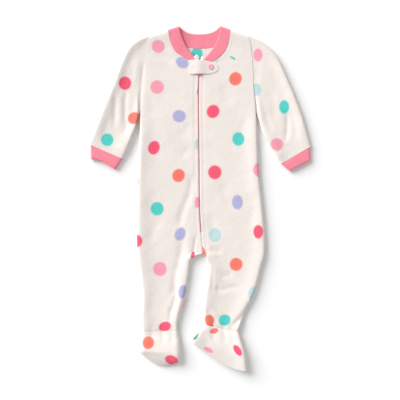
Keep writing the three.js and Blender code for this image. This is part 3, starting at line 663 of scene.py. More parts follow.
footLook = {
    "toeRadius": 11 * mm,
    "soleRadius": 6 * mm,
    "toeGap": 0.15 * mm,
    "rowSteps": 8,
    "edgeCells": 8,
    "calmRows": 1.5,
    "legRows": 1.1,
    "rowLength": 13 * mm,
    "soleWall": 1.8 * mm,
    "soleGap": 0.15 * mm,
    "soleCurve": 0.6,
    "crownDrop": 0.9,
}


def makeFootPanel(name, rows, facing, under, material, spec):
    look = footLook

    def footLine(table, place, radius):
        width = edgePoints(table, place)[2]
        crown, side = smoothAt(table, "crown", place) * mm, smoothAt(table, "side", place) * mm
        line = []
        for distance in spacing(width, spec["cells"], look["toeRadius"], look["edgeCells"]):
            point = rowPoint(table, place, distance / width)
            raised = rise(distance, radius) * rise(width - distance, radius)
            height = side + (crown - side) * raised
            if not under:
                folds = creaseAt(point, spec["creases"])
                calm = smoothStep(place, 0, look["calmRows"])
                height += (folds + waveAt(point, spec["seed"]) * calm) * raised
                leg = tubeTop(distance, width) + folds * raised
                fromAnkle = rise(place * look["rowLength"], lay["ankleEase"])
                dip = (leg - lay["seam"]) * lay["ankleDip"] * (1 - fromAnkle)
                height += (leg - height) * (1 - smoothStep(place, 0, look["legRows"])) - dip
            point.z = max(0, height)
            line.append(point)
        return line

    radius = look["soleRadius"] if under else look["toeRadius"]
    steps = look["rowSteps"]
    grid = [footLine(rows, i / steps, radius) for i in range((len(rows) - 1) * steps + 1)]
    if under:
        # the sole ends just outside and below the upper's toe seam
        seam = footLine(footUpperLeftRows, len(footUpperLeftRows) - 1, look["toeRadius"])
        last = len(seam) - 1
        line = []
        for c, point in enumerate(seam):
            run = seam[min(c + 1, last)] - seam[max(c - 1, 0)]
            out = Vector((run.y, -run.x, 0)).normalized() * look["toeGap"]
            line.append(Vector((point.x + out.x, point.y + out.y, point.z - look["toeGap"])))
        grid.append(line)
    return clothGrid(name, grid, lay["wall"], material, facing)


def sideFootTop(place):
    return (smoothAt(footUpperRightRows, "crown", place) - footLook["crownDrop"]) * mm


def makeSideSole(name, material, spec):
    rows, end = footUpperRightRows, len(footUpperRightRows) - 1
    outer, inner, width = edgePoints(rows, end)
    run = (inner - outer).normalized()
    out = Vector((run.y, -run.x, 0))
    top = sideFootTop(end)
    grid = []
    for distance in spacing(width, spec["cells"], lay["roll"])[1:-1]:
        point = rowPoint(rows, end, distance / width, spec["bowPeak"])
        high = tubeTop(distance, width, top)
        low = lay["seam"] * (1 - rise(distance) * rise(width - distance))
        line = []
        for i in range(spec["across"] + 1):
            angle = math.pi * i / spec["across"]
            bulge = spec["bulge"] * mm * max(0, math.sin(angle)) ** footLook["soleCurve"]
            place = point - out * (footLook["soleGap"] + bulge)
            place.z = (high + low) / 2 + (high - low) / 2 * math.cos(angle)
            line.append(place)
        grid.append(line)
    return clothGrid(name, grid, footLook["soleWall"], material, -1)


# rib knit: the neckband and the two cuffs

ribLook = {
    "pitch": 1.75 * mm,
    "depth": 0.2 * mm,
    "sharpness": 0.7,
    "level": 0.55,
    "step": 0.55 * mm,
    "bandRise": 0.5 * mm,
    "bandUnder": 0.4 * mm,
    "rimRound": (1.1 * mm, 2.2 * mm),
    "seamRound": (0.5 * mm, 1.6 * mm),
    "cuffRows": 14,
    "cuffCells": 150,
    "cuffRise": 0.6 * mm,
    "cuffUnder": 0.2 * mm,
    "cuffRoll": 3.2 * mm,
    "cuffRowLength": 4.5 * mm,
    "cuffEdge": 0.06,
    "seamPinch": (0.35 * mm, 3 * mm),
    "endPinch": (0.7 * mm, 2.4 * mm),
}


def ribAt(run):
    # rounded ridges with narrow valleys, in metres
    look = ribLook
    wave = abs(math.cos(math.pi * run / look["pitch"]))
    return look["depth"] * (wave ** look["sharpness"] - look["level"])


def rounding(distance, name):
    # how far an edge drops, with its depth and its reach from ribLook
    depth, reach = ribLook[name]
    return depth * (1 - rise(distance, reach))


def makeNeckband(name, material):
    stations = []
    for rows, isFront in ((bandFrontLeftRows, True), (bandBackRows, False), (bandFrontRightRows, True)):
        places = evenPlaces(rows, ribLook["step"], ("seam", "rim"))
        if rows is bandFrontRightRows:
            places.reverse()
        stations += [(rows, place, isFront) for place in (places[1:] if stations else places)]
    ends = [edgePoints(bandBackRows, place, "seam", "rim") for place in (0, len(bandBackRows) - 1)]
    folds = [seam.lerp(rim, 0.5) for seam, rim, width in ends]
    shares = [0, 0.02, 0.06, 0.12, 0.22, 0.35, 0.5, 0.65, 0.78, 0.87, 0.93, 0.97, 1]
    grid, run, before = [], 0.0, None
    for rows, place, isFront in stations:
        seam, rim, width = edgePoints(rows, place, "seam", "rim")
        middle = seam.lerp(rim, 0.5)
        run += (middle - before).length if before else 0
        before = middle
        raised = rise(min((fold - middle).length for fold in folds))
        line = []
        for share in shares:
            point = seam.lerp(rim, share)
            if isFront:
                edges = rounding((1 - share) * width, "rimRound") + rounding(share * width, "seamRound")
                top = lay["middle"] + ribLook["bandRise"] - edges
                height = lay["seam"] + (top - lay["seam"]) * raised
            else:
                height = lay["seam"] * (1 - raised) + ribLook["bandUnder"] * raised
            height += (ribAt(run) if isFront else -0.5 * ribAt(run)) * (0.35 + 0.65 * raised)
            point.z = max(height, 0)
            line.append(point)
        grid.append(line)
    return clothGrid(name, grid, lay["ribWall"], material, 1)


def makeCuff(name, rows, facing, material, bowPeak, seed):
    # ridges run along the sleeve; the free edge is folded and so a little rounder
    look = ribLook
    count, end, edge = look["cuffCells"], len(rows) - 1, look["cuffEdge"]
    rowLength, roll = look["cuffRowLength"], look["cuffRoll"]
    turned = [0.5 - 0.5 * math.cos(math.pi * (edge + (1 - 2 * edge) * i / count)) for i in range(count + 1)]
    grid = []
    for i in range(look["cuffRows"] + 1):
        place = end * i / look["cuffRows"]
        width = edgePoints(rows, place)[2]
        pinch = rounding(place * rowLength, "seamPinch") + rounding((end - place) * rowLength, "endPinch")
        over, under = [], []
        for share in [0] + turned[1:-1] + [1]:
            distance = width * share
            point = rowPoint(rows, place, share, bowPeak)
            raised = rise(distance, roll) * rise(width - distance, roll)
            rib = ribAt(distance) * raised
            high = lay["middle"] + look["cuffRise"] + waveAt(point, seed) - pinch - lay["seam"]
            low = lay["seam"] * (1 - raised) - rib * 0.5 + look["cuffUnder"] * raised
            over.append(Vector((point.x, point.y, lay["seam"] + high * raised + rib)))
            under.append(Vector((point.x, point.y, max(low, 0))))
        grid.append(over + under[-2:0:-1])
    return clothGrid(name, grid, lay["ribWall"] * 0.8, material, facing, ring=True)


# materials: each one is built from nodes in its own place

def feed(tree, socket, value):
    # a value is a number or colour, or the output socket that feeds it
    if isinstance(value, bpy.types.NodeSocket):
        tree.links.new(value, socket)
    else:
        socket.default_value = value


def addNode(tree, kind, operation=None, **values):
    # inputs go by name, or as i0, i1 by their order
    node = tree.nodes.new(kind)
    if operation:
        node.operation = operation
    for key, value in values.items():
        isNumber = key[0] == "i" and key[1:].isdigit()
        feed(tree, node.inputs[int(key[1:]) if isNumber else key.replace("_", " ")], value)
    return node


def noiseAt(tree, vector, scale, detail=2.0, rough=0.5, output=0):
    node = addNode(tree, "ShaderNodeTexNoise", Vector=vector, Scale=scale, Detail=detail, Roughness=rough)
    return node.outputs[output]


def mixColor(tree, factor, first, second, blend="MIX"):
    node = tree.nodes.new("ShaderNodeMix")
    node.data_type = "RGBA"
    node.blend_type = blend
    for index, value in ((0, factor), (6, first), (7, second)):
        feed(tree, node.inputs[index], value)
    return node.outputs[2]


def ramped(tree, value, low, high, toLow=0.0, toHigh=1.0):
    node = addNode(tree, "ShaderNodeMapRange", Value=value)
    node.interpolation_type = "SMOOTHSTEP"
    setInputs(node, {"From Min": low, "From Max": high, "To Min": toLow, "To Max": toHigh})
    return node.outputs[0]


def addBump(tree, height, depth, strength=1.0, **values):
    # depth in mm
    bump = addNode(tree, "ShaderNodeBump", Height=height, Distance=depth * mm, Strength=strength, **values)
    return bump.outputs[0]


def linear(color, share=1.0):
    # shader colour from 0 to 255 values, darkened to a share of them
    steps = [c * share for c in color]
    return tuple(((c / 255 + 0.055) / 1.055) ** 2.4 if c > 10 else c / 255 / 12.92 for c in steps) + (1.0,)


def newMaterial(name):
    mat = bpy.data.materials.new(name)
    mat.use_nodes = True
    return mat, mat.node_tree, addNode(mat.node_tree, "ShaderNodeTexCoord").outputs["Object"]


def setSurface(tree, color, relief, **values):
    shader = tree.nodes["Principled BSDF"]
    feed(tree, shader.inputs["Base Color"], color)
    feed(tree, shader.inputs["Normal"], relief)
    for key, value in values.items():
        feed(tree, shader.inputs[key.replace("_", " ")], value)


dotColors = {
    "pink": (250, 160, 178),
    "red": (248, 88, 118),
    "orange": (251, 122, 104),
    "lavender": (179, 178, 216),
    "teal": (80, 207, 197),
    "aqua": (188, 217, 218),
    # the teal print darkened with painted shade, for the sliver on the right foot's heel edge
    "shadedTeal": (66, 148, 136),
}
fleeceLook = {
    "cloth": (239, 230, 224),
    "shade": (234, 223, 216),
    "shadeShare": 0.3,
    "napSize": 700.0,
    "tuftSize": 210.0,
    "patchSize": 26.0,
    "warpSize": 420.0,
    "napHeight": 0.3,
    "tuftHeight": 0.4,
    "edgeBlur": 0.17,
    "dotWarp": 1.6 * mm,
    "sheen": 0.3,
}


def fleeceMaterial(name, dots):
    # dots: x, y, size across and down in squares, tilt in degrees to the left, and the colour
    look = fleeceLook
    mat, tree, spot = newMaterial(name)
    flat = addNode(tree, "ShaderNodeUVMap")
    flat.uv_map = "clothMap"
    nap = noiseAt(tree, spot, look["napSize"], 3.0, 0.6)
    tuft = noiseAt(tree, spot, look["tuftSize"], 3.0, 0.55)
    patch = noiseAt(tree, spot, look["patchSize"])
    plain, shade = linear(look["cloth"]), linear(look["shade"])
    base = mixColor(tree, ramped(tree, patch, 0.35, 0.7), plain, shade)
    base = mixColor(tree, look["shadeShare"], plain, base)
    warp = noiseAt(tree, flat.outputs[0], look["warpSize"], 2.0, 0.6, output=1)
    warp = addNode(tree, "ShaderNodeVectorMath", "SUBTRACT", i0=warp, i1=(0.5, 0.5, 0.5)).outputs[0]
    reach = (look["dotWarp"],) * 3
    place = addNode(tree, "ShaderNodeVectorMath", "MULTIPLY_ADD", i0=warp, i1=reach, i2=flat.outputs[0])
    half = plan["square"] / 2
    for colorName, color in dotColors.items():
        nearest = None
        for x, y, across, down, tilt, chosen in dots:
            if chosen != colorName:
                continue
            part = addNode(tree, "ShaderNodeMapping", Vector=place.outputs[0])
            part.vector_type = "TEXTURE"
            turn, size = (0, 0, math.radians(tilt)), (across * half, down * half, 1)
            setInputs(part, {"Location": onPlan(x, y), "Rotation": turn, "Scale": size})
            far = addNode(tree, "ShaderNodeVectorMath", "LENGTH", i0=part.outputs[0]).outputs[1]
            if nearest:
                far = addNode(tree, "ShaderNodeMath", "MINIMUM", i0=nearest, i1=far).outputs[0]
            nearest = far
        if nearest:
            blur = look["edgeBlur"]
            base = mixColor(tree, ramped(tree, nearest, 1 - blur, 1 + blur, 1.0, 0.0), base, linear(color))
    base = mixColor(tree, 1.0, base, ramped(tree, nap, 0.25, 0.75, 0.93, 1.05), "MULTIPLY")
    relief = addBump(tree, tuft, look["tuftHeight"])
    relief = addBump(tree, nap, look["napHeight"], Normal=relief)
    sheen = {"Sheen_Weight": look["sheen"], "Sheen_Roughness": 0.6}
    setSurface(tree, base, relief, Roughness=0.95, Specular_IOR_Level=0.15, **sheen)
    return mat


knitLook = {
    "face": (251, 145, 162),
    "valley": (236, 116, 138),
    "loopSize": 1300.0,
    "loopHeight": 0.35,
    "patchSize": 60.0,
}


def ribMaterial():
    look = knitLook
    mat, tree, spot = newMaterial("pinkRib")
    loops = noiseAt(tree, spot, look["loopSize"], 2.0, 0.6)
    patch = noiseAt(tree, spot, look["patchSize"])
    valley = ramped(tree, patch, 0.3, 0.75, 0.0, 0.35)
    color = mixColor(tree, valley, linear(look["face"]), linear(look["valley"]))
    color = mixColor(tree, 1.0, color, ramped(tree, loops, 0.3, 0.7, 0.9, 1.06), "MULTIPLY")
    relief = addBump(tree, loops, look["loopHeight"])
    setSurface(tree, color, relief, Roughness=0.9, Specular_IOR_Level=0.2, Sheen_Weight=0.2)
    return mat


threadLook = {"twistSize": 900.0, "twistHeight": 0.1, "dark": 0.82}


def threadMaterial(name, color):
    mat, tree, spot = newMaterial(name)
    wave = addNode(tree, "ShaderNodeTexWave", Vector=spot, Scale=threadLook["twistSize"], Distortion=2.0)
    twist = wave.outputs[0]
    dark = linear(color, threadLook["dark"])
    tone = mixColor(tree, ramped(tree, twist, 0.0, 1.0, 0.0, 0.35), linear(color), dark)
    setSurface(tree, tone, addBump(tree, twist, threadLook["twistHeight"], 0.6), Roughness=0.7)
    return mat


tapeLook = {"light": (214, 136, 150), "dark": (196, 112, 130), "weaveSize": 520.0, "weaveHeight": 0.15}


def tapeMaterial():
    look = tapeLook
    mat, tree, spot = newMaterial("zipWeave")
    weave = addNode(tree, "ShaderNodeTexWave", Vector=spot, Scale=look["weaveSize"], Distortion=1.0)
    weave.bands_direction = "DIAGONAL"
    weave = weave.outputs[1]
    color = mixColor(tree, weave, linear(look["light"]), linear(look["dark"]))
    setSurface(tree, color, addBump(tree, weave, look["weaveHeight"], 0.8), Roughness=0.8)
    return mat


plasticLook = {"cloudSize": 300.0, "cloudHeight": 0.03, "dark": 0.9, "unevenRoughness": 0.12}


def plasticMaterial(name, color, rough=0.32):
    look = plasticLook
    mat, tree, spot = newMaterial(name)
    cloud = noiseAt(tree, spot, look["cloudSize"])
    dark = linear(color, look["dark"])
    tone = mixColor(tree, ramped(tree, cloud, 0.3, 0.7, 0.0, 0.2), linear(color), dark)
    roughness = ramped(tree, cloud, 0.3, 0.7, rough, rough + look["unevenRoughness"])
    setSurface(tree, tone, addBump(tree, cloud, look["cloudHeight"], 0.5), Roughness=roughness)
    return mat


# repeats: stitches and zip teeth set along lines by geometry nodes

def repeatTree(name, material, look):
    tree = bpy.data.node_groups.new(name, "GeometryNodeTree")
    for label, way in (("Line", "INPUT"), ("Pieces", "OUTPUT")):
        tree.interface.new_socket(label, in_out=way, socket_type="NodeSocketGeometry")
    line, result = tree.nodes.new("NodeGroupInput"), tree.nodes.new("NodeGroupOutput")
    curve = addNode(tree, "GeometryNodeMeshToCurve", Mesh=line.outputs[0])
    points = addNode(tree, "GeometryNodeResampleCurve", Curve=curve.outputs[0])
    points.mode = "LENGTH"
    points.inputs["Length"].default_value = look["pitch"] * mm
    tangent = addNode(tree, "GeometryNodeInputTangent")
    turn = addNode(tree, "FunctionNodeAlignRotationToVector", Vector=tangent.outputs[0])
    turn.axis = "Y"
    turn.pivot_axis = "Z"
    bead = addNode(tree, "GeometryNodeMeshUVSphere", Segments=8, Rings=6, Radius=0.5)
    uneven = addNode(tree, "FunctionNodeRandomValue", i2=1 - look["uneven"], i3=1 + look["uneven"], Seed=7)
    across = [v * mm for v in look["size"]]
    size = addNode(tree, "ShaderNodeVectorMath", "SCALE", i0=across, Scale=uneven.outputs[1])
    sources = {"Points": points, "Instance": bead, "Rotation": turn, "Scale": size}
    sources = {socket: node.outputs[0] for socket, node in sources.items()}
    placed = addNode(tree, "GeometryNodeInstanceOnPoints", **sources)
    real = addNode(tree, "GeometryNodeRealizeInstances", Geometry=placed.outputs[0])
    smooth = addNode(tree, "GeometryNodeSetShadeSmooth", Geometry=real.outputs[0])
    painted = addNode(tree, "GeometryNodeSetMaterial", Geometry=smooth.outputs[0], Material=material)
    tree.links.new(painted.outputs[0], result.inputs[0])
    return tree


def makeRepeats(name, lines, material, look):
    # look: pitch along the line, size of one piece across, along and up in mm, and its unevenness
    verts, edges = [], []
    for line in lines:
        start = len(verts)
        verts += [point[:] for point in line]
        edges += [(start + i, start + i + 1) for i in range(len(line) - 1)]
    mesh = bpy.data.meshes.new(name)
    mesh.from_pydata(verts, edges, [])
    mesh.materials.append(material)
    obj = addObject(name, mesh)
    obj.modifiers.new("repeats", "NODES").node_group = repeatTree(name + "Tree", material, look)
    return settle(obj)


def dropper(objects):
    # gives the height of the cloth's top at a plan point, in metres
    trees = []
    for obj in objects:
        body = bmesh.new()
        body.from_mesh(obj.data)
        trees.append(BVHTree.FromBMesh(body))
        body.free()

    def height(point, lift=0.0):
        hits = [tree.ray_cast(Vector((point.x, point.y, 0.1)), Vector((0, 0, -1)))[0] for tree in trees]
        tops = [hit.z for hit in hits if hit]
        return Vector((point.x, point.y, (max(tops) if tops else lay["middle"]) + lift * mm))

    return height


# creases and dots, charted on the plan

creaseNames = "fromX fromY toX toY width depth bend"
leftBodyCreases = readTable(creaseNames, [
    (191, 178, 187, 201, 6, 1.3, 3), (187.5, 199, 179.3, 226, 7, 1.4, -2),
    (195.6, 236, 192.6, 256, 1.8, 1.7, 1), (189.6, 232, 187.2, 262, 7, -0.7),
    (181.6, 243, 175, 276, 7.5, 1.7, 3), (175.6, 276, 172.6, 294, 6, 1.5),
    (176.8, 284, 171.4, 311, 5, 1.6, 3), (171.6, 308, 169.9, 322, 5, 1.4),
    (182, 284, 177.4, 316, 5.5, -0.9), (152, 292, 150.6, 314, 8, 0.5), (190, 124, 180, 136, 8, 0.6, 2),
    (190, 148, 181, 158, 8, 0.6), (157, 55, 173, 63, 6, 0.9, 2), (150, 96, 153, 116, 8, 0.6),
    (146, 150, 143.6, 190, 9, 0.6, 3), (160, 218, 150, 240, 9, 0.7),
])
rightBodyCreases = readTable(creaseNames, [
    (212, 270, 212.4, 292, 4, 0.8), (216, 287, 220, 290.6, 3.6, 1.4), (221, 276, 232, 274, 6, 0.9),
    (219, 291.6, 239, 286.4, 5, 0.7, 2), (211, 249, 221, 251.6, 6, 1),
    (253, 300, 232, 326, 5.5, 2.4, 3), (255, 309, 238, 329, 5, -1), (206, 310, 218, 322, 5, 1.2),
    (212, 312, 224, 324, 5, -1), (222, 86, 230, 104, 9, 0.6), (246, 118, 240, 140, 9, 0.6),
    (222, 186, 232, 212, 10, 0.7), (254, 196, 250, 226, 9, 0.8, 3), (210, 216, 214, 236, 9, 0.7),
])
leftArmholeCreases = readTable(creaseNames, [
    (143.6, 64, 140.4, 98, 4, 1), (140.6, 94, 139.8, 114, 4, 0.6),
])
sleeveLeftCreases = readTable(creaseNames, [
    (115.4, 92, 114.6, 126, 4.5, 1.2), (126.4, 91, 126, 127, 4.5, 1.2, -2),
    (121, 94, 120.4, 124, 5, -0.6), (137.4, 62, 136, 82, 6, -0.7), (132, 118, 124, 136, 6, 0.9),
    (108, 118, 103, 140, 7, 0.8),
])
sleeveRightCreases = readTable(creaseNames, [
    (286.5, 113, 285.5, 140, 5, 1.5, 2), (270, 92, 275, 120, 8, 0.7, 2), (292, 112, 297, 138, 7, 0.7),
    (264, 112, 270, 132, 6, 0.9),
])
footLeftCreases = readTable(creaseNames, [
    (151, 325, 152.4, 339, 5, 0.8), (162, 326, 164, 341, 5, 1), (171.4, 326, 172.6, 342, 5, 1.1),
])
footRightCreases = readTable(creaseNames, [
    (212, 320, 213.6, 339, 5, 1.2), (222, 322, 225, 342, 5, 1.2, 2), (230.6, 325, 234, 344, 6, 1),
    (203, 330, 208, 344, 6, 0.8),
])

leftDots = [
    (158.5, 47.1, 13, 12.6, 0, "pink"), (157.3, 87.6, 13.6, 13.4, 0, "pink"),
    (182.4, 63.2, 13.4, 10.6, -30, "lavender"), (179.3, 116.6, 13, 12.4, 0, "lavender"),
    (154.1, 147.9, 11.6, 14, -20, "red"), (178.7, 175.6, 12.4, 13.4, -25, "orange"),
    (157.3, 208.7, 13, 13.4, 0, "teal"), (180.2, 234, 10.4, 13.6, -25, "lavender"),
    (136.1, 240.8, 13, 13, 0, "red"), (132.8, 181, 13, 13, 0, "pink"),
    (160.1, 268.7, 13.6, 14, 0, "pink"), (183.2, 291.2, 9.4, 13.4, -12, "lavender"),
    (165, 325.9, 12.6, 9.4, 18, "red"), (180.6, 325, 5, 11, 0, "teal"),
    (136.6, 297.5, 13, 13, 0, "aqua"), (193.2, 254.8, 3.8, 7, -20, "red"),
    (198.2, 92.3, 2.6, 6, 0, "teal"), (196.9, 144.5, 4.4, 11, 0, "aqua"),
    (197.3, 202.4, 5.2, 11.4, 0, "pink"),
]
rightDots = [
    (232.6, 58.6, 6.4, 2.4, -30, "teal"), (216.8, 61.2, 5.4, 2, 36, "aqua"),
    (235.3, 79.3, 12.6, 13.4, -20, "orange"), (213, 111.8, 12.4, 13.6, -30, "red"),
    (238.2, 139.2, 12, 13.6, 0, "teal"), (214.7, 172.4, 13.4, 14, 0, "red"),
    (237.2, 202.2, 10.8, 14.4, 0, "lavender"), (214.9, 234.9, 12.4, 13.6, 0, "aqua"),
    (258, 231.6, 9.6, 13.6, 0, "red"), (259.4, 170, 13, 14, 0, "pink"),
    (236, 264.1, 12.8, 13, -15, "orange"), (203.2, 251.4, 4.4, 12.6, 22, "orange"),
    (252.4, 292.2, 8.4, 13, -18, "aqua"), (209.2, 319.8, 9.8, 11.6, 14, "orange"),
    (211.2, 326.2, 5.4, 8, 20, "orange"), (224.4, 319.6, 12.2, 11.2, 20, "teal"),
]
footLeftDots = [
    (148.6, 341.8, 11.6, 12.2, -10, "orange"), (171.8, 359, 13.6, 9.6, -22, "red"),
    (180.6, 325, 5, 11, 0, "teal"),
]
footRightDots = [
    (214, 330.2, 8.4, 5.2, 12, "orange"), (237.4, 349.2, 6.4, 12.4, 35, "red"),
    # the last dot is the teal print with painted shade, where the heel's edge lies in shade
    (208.2, 348.7, 10.4, 4.6, -28, "pink"), (194.9, 335.2, 4.4, 9, -40, "shadedTeal"),
]
sleeveDots = [
    (125.3, 83.7, 12.4, 13.4, 0, "red"), (134.6, 118.6, 13, 12, 20, "orange"),
    (107.6, 140.1, 12.4, 12.6, -20, "teal"), (257.8, 55.6, 9, 13, 0, "pink"),
    (256.1, 90, 9.6, 12.6, 0, "aqua"), (283.8, 107.4, 10, 13.4, 0, "teal"),
    (276.5, 144.8, 12.6, 12.6, 0, "pink"),
]


hiddenLook = {"across": 42, "down": 30.5, "stagger": 21, "clear": 24, "wobble": 6, "size": 13}


def hiddenDots(fromX, toX, fromY, toY, known=(), start=0):
    # the same layout carried on where the photo shows nothing: staggered rows, colours in turn
    look = hiddenLook
    order, size = ["pink", "lavender", "red", "teal", "orange", "aqua"], look["size"]
    dots, row, y = [], 0, fromY
    while y < toY:
        x = fromX + (row % 2) * look["stagger"]
        while x < toX:
            if all(math.hypot(x - dot[0], y - dot[1]) > look["clear"] for dot in known):
                wobble = noise.noise(Vector((x * 0.37, y * 0.29, 3))) * look["wobble"]
                color = order[(len(dots) + row * 2 + start) % len(order)]
                dots.append((x + wobble, y - wobble * 0.7, size, size, 0, color))
            x += look["across"]
        y += look["down"]
        row += 1
    return dots


# the garment's pieces, in the order they were sewn

fleeceLeft = fleeceMaterial("dottedFleeceLeft", leftDots)
fleeceRight = fleeceMaterial("dottedFleeceRight", rightDots)
fleeceSleeve = fleeceMaterial("dottedFleeceSleeves", sleeveDots + hiddenDots(162, 240, 40, 175))
fleeceFootLeft = fleeceMaterial("dottedFleeceFootLeft", footLeftDots)
fleeceFootRight = fleeceMaterial("dottedFleeceFootRight", footRightDots + hiddenDots(150, 190, 338, 372))
backKnown = [(197.2, 53.4, 11, 12, 0, "teal")]
fleeceBack = fleeceMaterial("dottedFleeceBack", backKnown + hiddenDots(146, 262, 62, 330, backKnown, 1))
rib = ribMaterial()
whiteThread = threadMaterial("whiteThread", (246, 238, 232))
pinkCoil = threadMaterial("pinkCoil", (240, 132, 152))

creases = leftBodyCreases + leftArmholeCreases + footLeftCreases
frontLeft = makeFront("frontLeft", frontLeftRows, bandFrontLeftRows, -1, fleeceLeft, creases, 1)
creases = rightBodyCreases + footRightCreases
frontRight = makeFront("frontRight", frontRightRows, bandFrontRightRows, 1, fleeceRight, creases, 4)
back = makeBack("backPanel", fleeceBack)
print("fronts and back ready")

sleeveSpec = {"step": 2.6, "cells": 30, "bowPeak": 0.5, "seamDip": 0.04, "seamStep": 0.15, "underarmDip": 0.3}
spec = {**sleeveSpec, "creases": sleeveLeftCreases + leftArmholeCreases, "seed": 7}
sleeveLeft = makeSleeve("sleeveLeft", sleeveLeftRows, frontLeftRows, -1, fleeceSleeve, spec)
spec = {**sleeveSpec, "creases": sleeveRightCreases, "seed": 9, "seamStep": 0.8, "underarmDip": 2.4}
sleeveRight = makeSleeve("sleeveRight", sleeveRightRows, frontRightRows, 1, fleeceSleeve, spec)
cuffLeft = makeCuff("cuffLeft", cuffLeftRows, -1, rib, 0.4, 11)
cuffRight = makeCuff("cuffRight", cuffRightRows, 1, rib, 0.5, 13)
neckband = makeNeckband("neckbandRib", rib)
print("sleeves and rib ready")

footSpec = {"cells": 26, "across": 24, "bulge": 2.8, "step": 1.8, "bowPeak": 0.4, "seamDip": 0.16}
spec = {**footSpec, "creases": footLeftCreases + leftBodyCreases, "seed": 15}
footUpperLeft = makeFootPanel("footUpperLeft", footUpperLeftRows, -1, False, fleeceFootLeft, spec)
footSoleLeft = makeFootPanel("footSoleLeft", footSoleLeftRows, 1, True, fleeceFootLeft, spec)
spec = {**footSpec, "creases": footRightCreases + rightBodyCreases, "seed": 17}
footUpperRight = makeTube("footUpperRight", footUpperRightRows, 1, fleeceFootRight, spec, topAt=sideFootTop)
footSoleRight = makeSideSole("footSoleRight", fleeceFootRight, spec)
print("feet ready")

onCloth = dropper([frontLeft, frontRight])


# zip: teeth between the fronts' edges, and the guard over its slider

zipLook = {"pitch": 1.15, "size": (1.9, 0.95, 1.2), "uneven": 0.04, "height": 6.7, "steps": 20}
zipLine = []
for i in range(zipLook["steps"] * (len(zipRows) - 1) + 1):
    point = pointAt(zipRows, "line", i / zipLook["steps"])
    point.z = zipLook["height"] * mm
    zipLine.append(point)
teeth = makeRepeats("zipCoil", [zipLine], pinkCoil, zipLook)

guardLook = {
    "sliderX": 199,
    "rest": 8.25,
    "over": 2.1,
    "spread": 13.0,
    "wall": 0.95,
    "edge": 0.7,
    "edgeRound": 1.6,
    "startInset": 0.4,
    "groove": 0.2,
    "grooveFrom": 3.4,
    "grooveWidth": 0.9,
    "steps": 10,
}


def makeGuard(name, material):
    def middleAt(row):
        return pointAt(guardRows, "top", row).lerp(pointAt(guardRows, "bottom", row), 0.5)

    look, steps, end = guardLook, guardLook["steps"], len(guardRows) - 1
    start, tip, sliderX = middleAt(0), middleAt(end), onPlan(look["sliderX"], 0).x
    shares = [0, 0.015, 0.05, 0.1] + [0.18 + 0.64 * i / 12 for i in range(13)] + [0.9, 0.95, 0.985, 1]
    grid = []
    for i in range(steps * end + 1):
        top, bottom, width = edgePoints(guardRows, i / steps, "top", "bottom")
        line = []
        for share in shares:
            point = top.lerp(bottom, share)
            ends = min((point - tip).length, abs(point.x - start.x) + look["startInset"] * mm)
            edge = min(min(share, 1 - share) * width, ends)
            aside = (point.x - sliderX) / (look["spread"] * mm)
            height = look["rest"] + look["over"] * math.exp(-(aside ** 2))
            height -= look["edge"] * (1 - rise(edge, look["edgeRound"] * mm))
            fromGroove = (edge / mm - look["grooveFrom"]) / look["grooveWidth"]
            point.z = (height - look["groove"] * math.exp(-(fromGroove ** 2))) * mm
            line.append(point)
        grid.append(line)
    return clothGrid(name, grid, look["wall"] * mm, material, 1)


guardDots = [(182.4, 63.2, 13, 10.6, -30, "lavender")]
guard = makeGuard("zipGuard", fleeceMaterial("plainFleeceGuard", guardDots))

tapeEndRows = {
    "tapeEndLeft": readTable("outerX outerY innerX innerY", [
        (193.2, 58.6, 196.6, 55.4), (194.6, 60.2, 198.8, 57.4), (196.4, 61.8, 199, 61.4),
    ]),
    "tapeEndRight": readTable("outerX outerY innerX innerY", [
        (201.8, 57.2, 205.8, 58.6), (201, 58.8, 204.8, 60.6), (200.8, 61.4, 203, 62),
    ]),
}
tapeEndLook = {
    "height": 7.4,
    "crown": 0.8,
    "endDrop": 0.7,
    "endRound": 3,
    "wall": 0.9,
    "steps": 8,
    "cells": 10,
}


def makeTapeEnd(name, rows, material):
    # the top of a zip tape, folded back behind the neckband's end
    look, steps, cells = tapeEndLook, tapeEndLook["steps"], tapeEndLook["cells"]
    grid = []
    for i in range(steps * (len(rows) - 1) + 1):
        outer, inner = edgePoints(rows, i / steps)[:2]
        line = [outer.lerp(inner, k / cells) for k in range(cells + 1)]
        for k, point in enumerate(line):
            crown = look["crown"] * (2 * k / cells - 1) ** 2
            endDrop = look["endDrop"] * (1 - rise(i * mm, look["endRound"] * mm))
            point.z = (look["height"] - crown - endDrop) * mm
        grid.append(line)
    return clothGrid(name, grid, look["wall"] * mm, material, 1)


snapLook = {
    "x": 210.8,
    "y": 67.4,
    "base": 8.35,
    "turns": 48,
    "profile": [
        (0, 0), (4.9, 0), (5.3, 0.25), (5.35, 0.5), (5.1, 0.85), (4.6, 1.05),
        (4.0, 1.1), (3.4, 1.05), (3.0, 0.95), (2.6, 0.88), (1.4, 0.86), (0, 0.9),
    ],
}


def makeTurned(name, look, material):
    # a profile of radius and height, turned once round
    turns, middle = look["turns"], onPlan(look["x"], look["y"], look["base"] * mm)
    verts, faces = [], []
    for radius, high in look["profile"]:
        for i in range(turns):
            angle = 2 * math.pi * i / turns
            x, y = radius * mm * math.cos(angle), radius * mm * math.sin(angle)
            verts.append((middle.x + x, middle.y + y, middle.z + high * mm))
    for r in range(len(look["profile"]) - 1):
        for i in range(turns):
            k = (i + 1) % turns
            faces.append([(r + up) * turns + at for up, at in ((0, i), (0, k), (1, k), (1, i))])
    obj = linkMesh(name, verts, faces, material)
    body = bmesh.new()
    body.from_mesh(obj.data)
    bmesh.ops.remove_doubles(body, verts=body.verts, dist=0.01 * mm)
    bmesh.ops.recalc_face_normals(body, faces=body.faces)
    body.to_mesh(obj.data)
    body.free()
    return obj


snap = makeTurned("snapCap", snapLook, plasticMaterial("snapPlastic", (250, 170, 184), 0.5))


# stitching

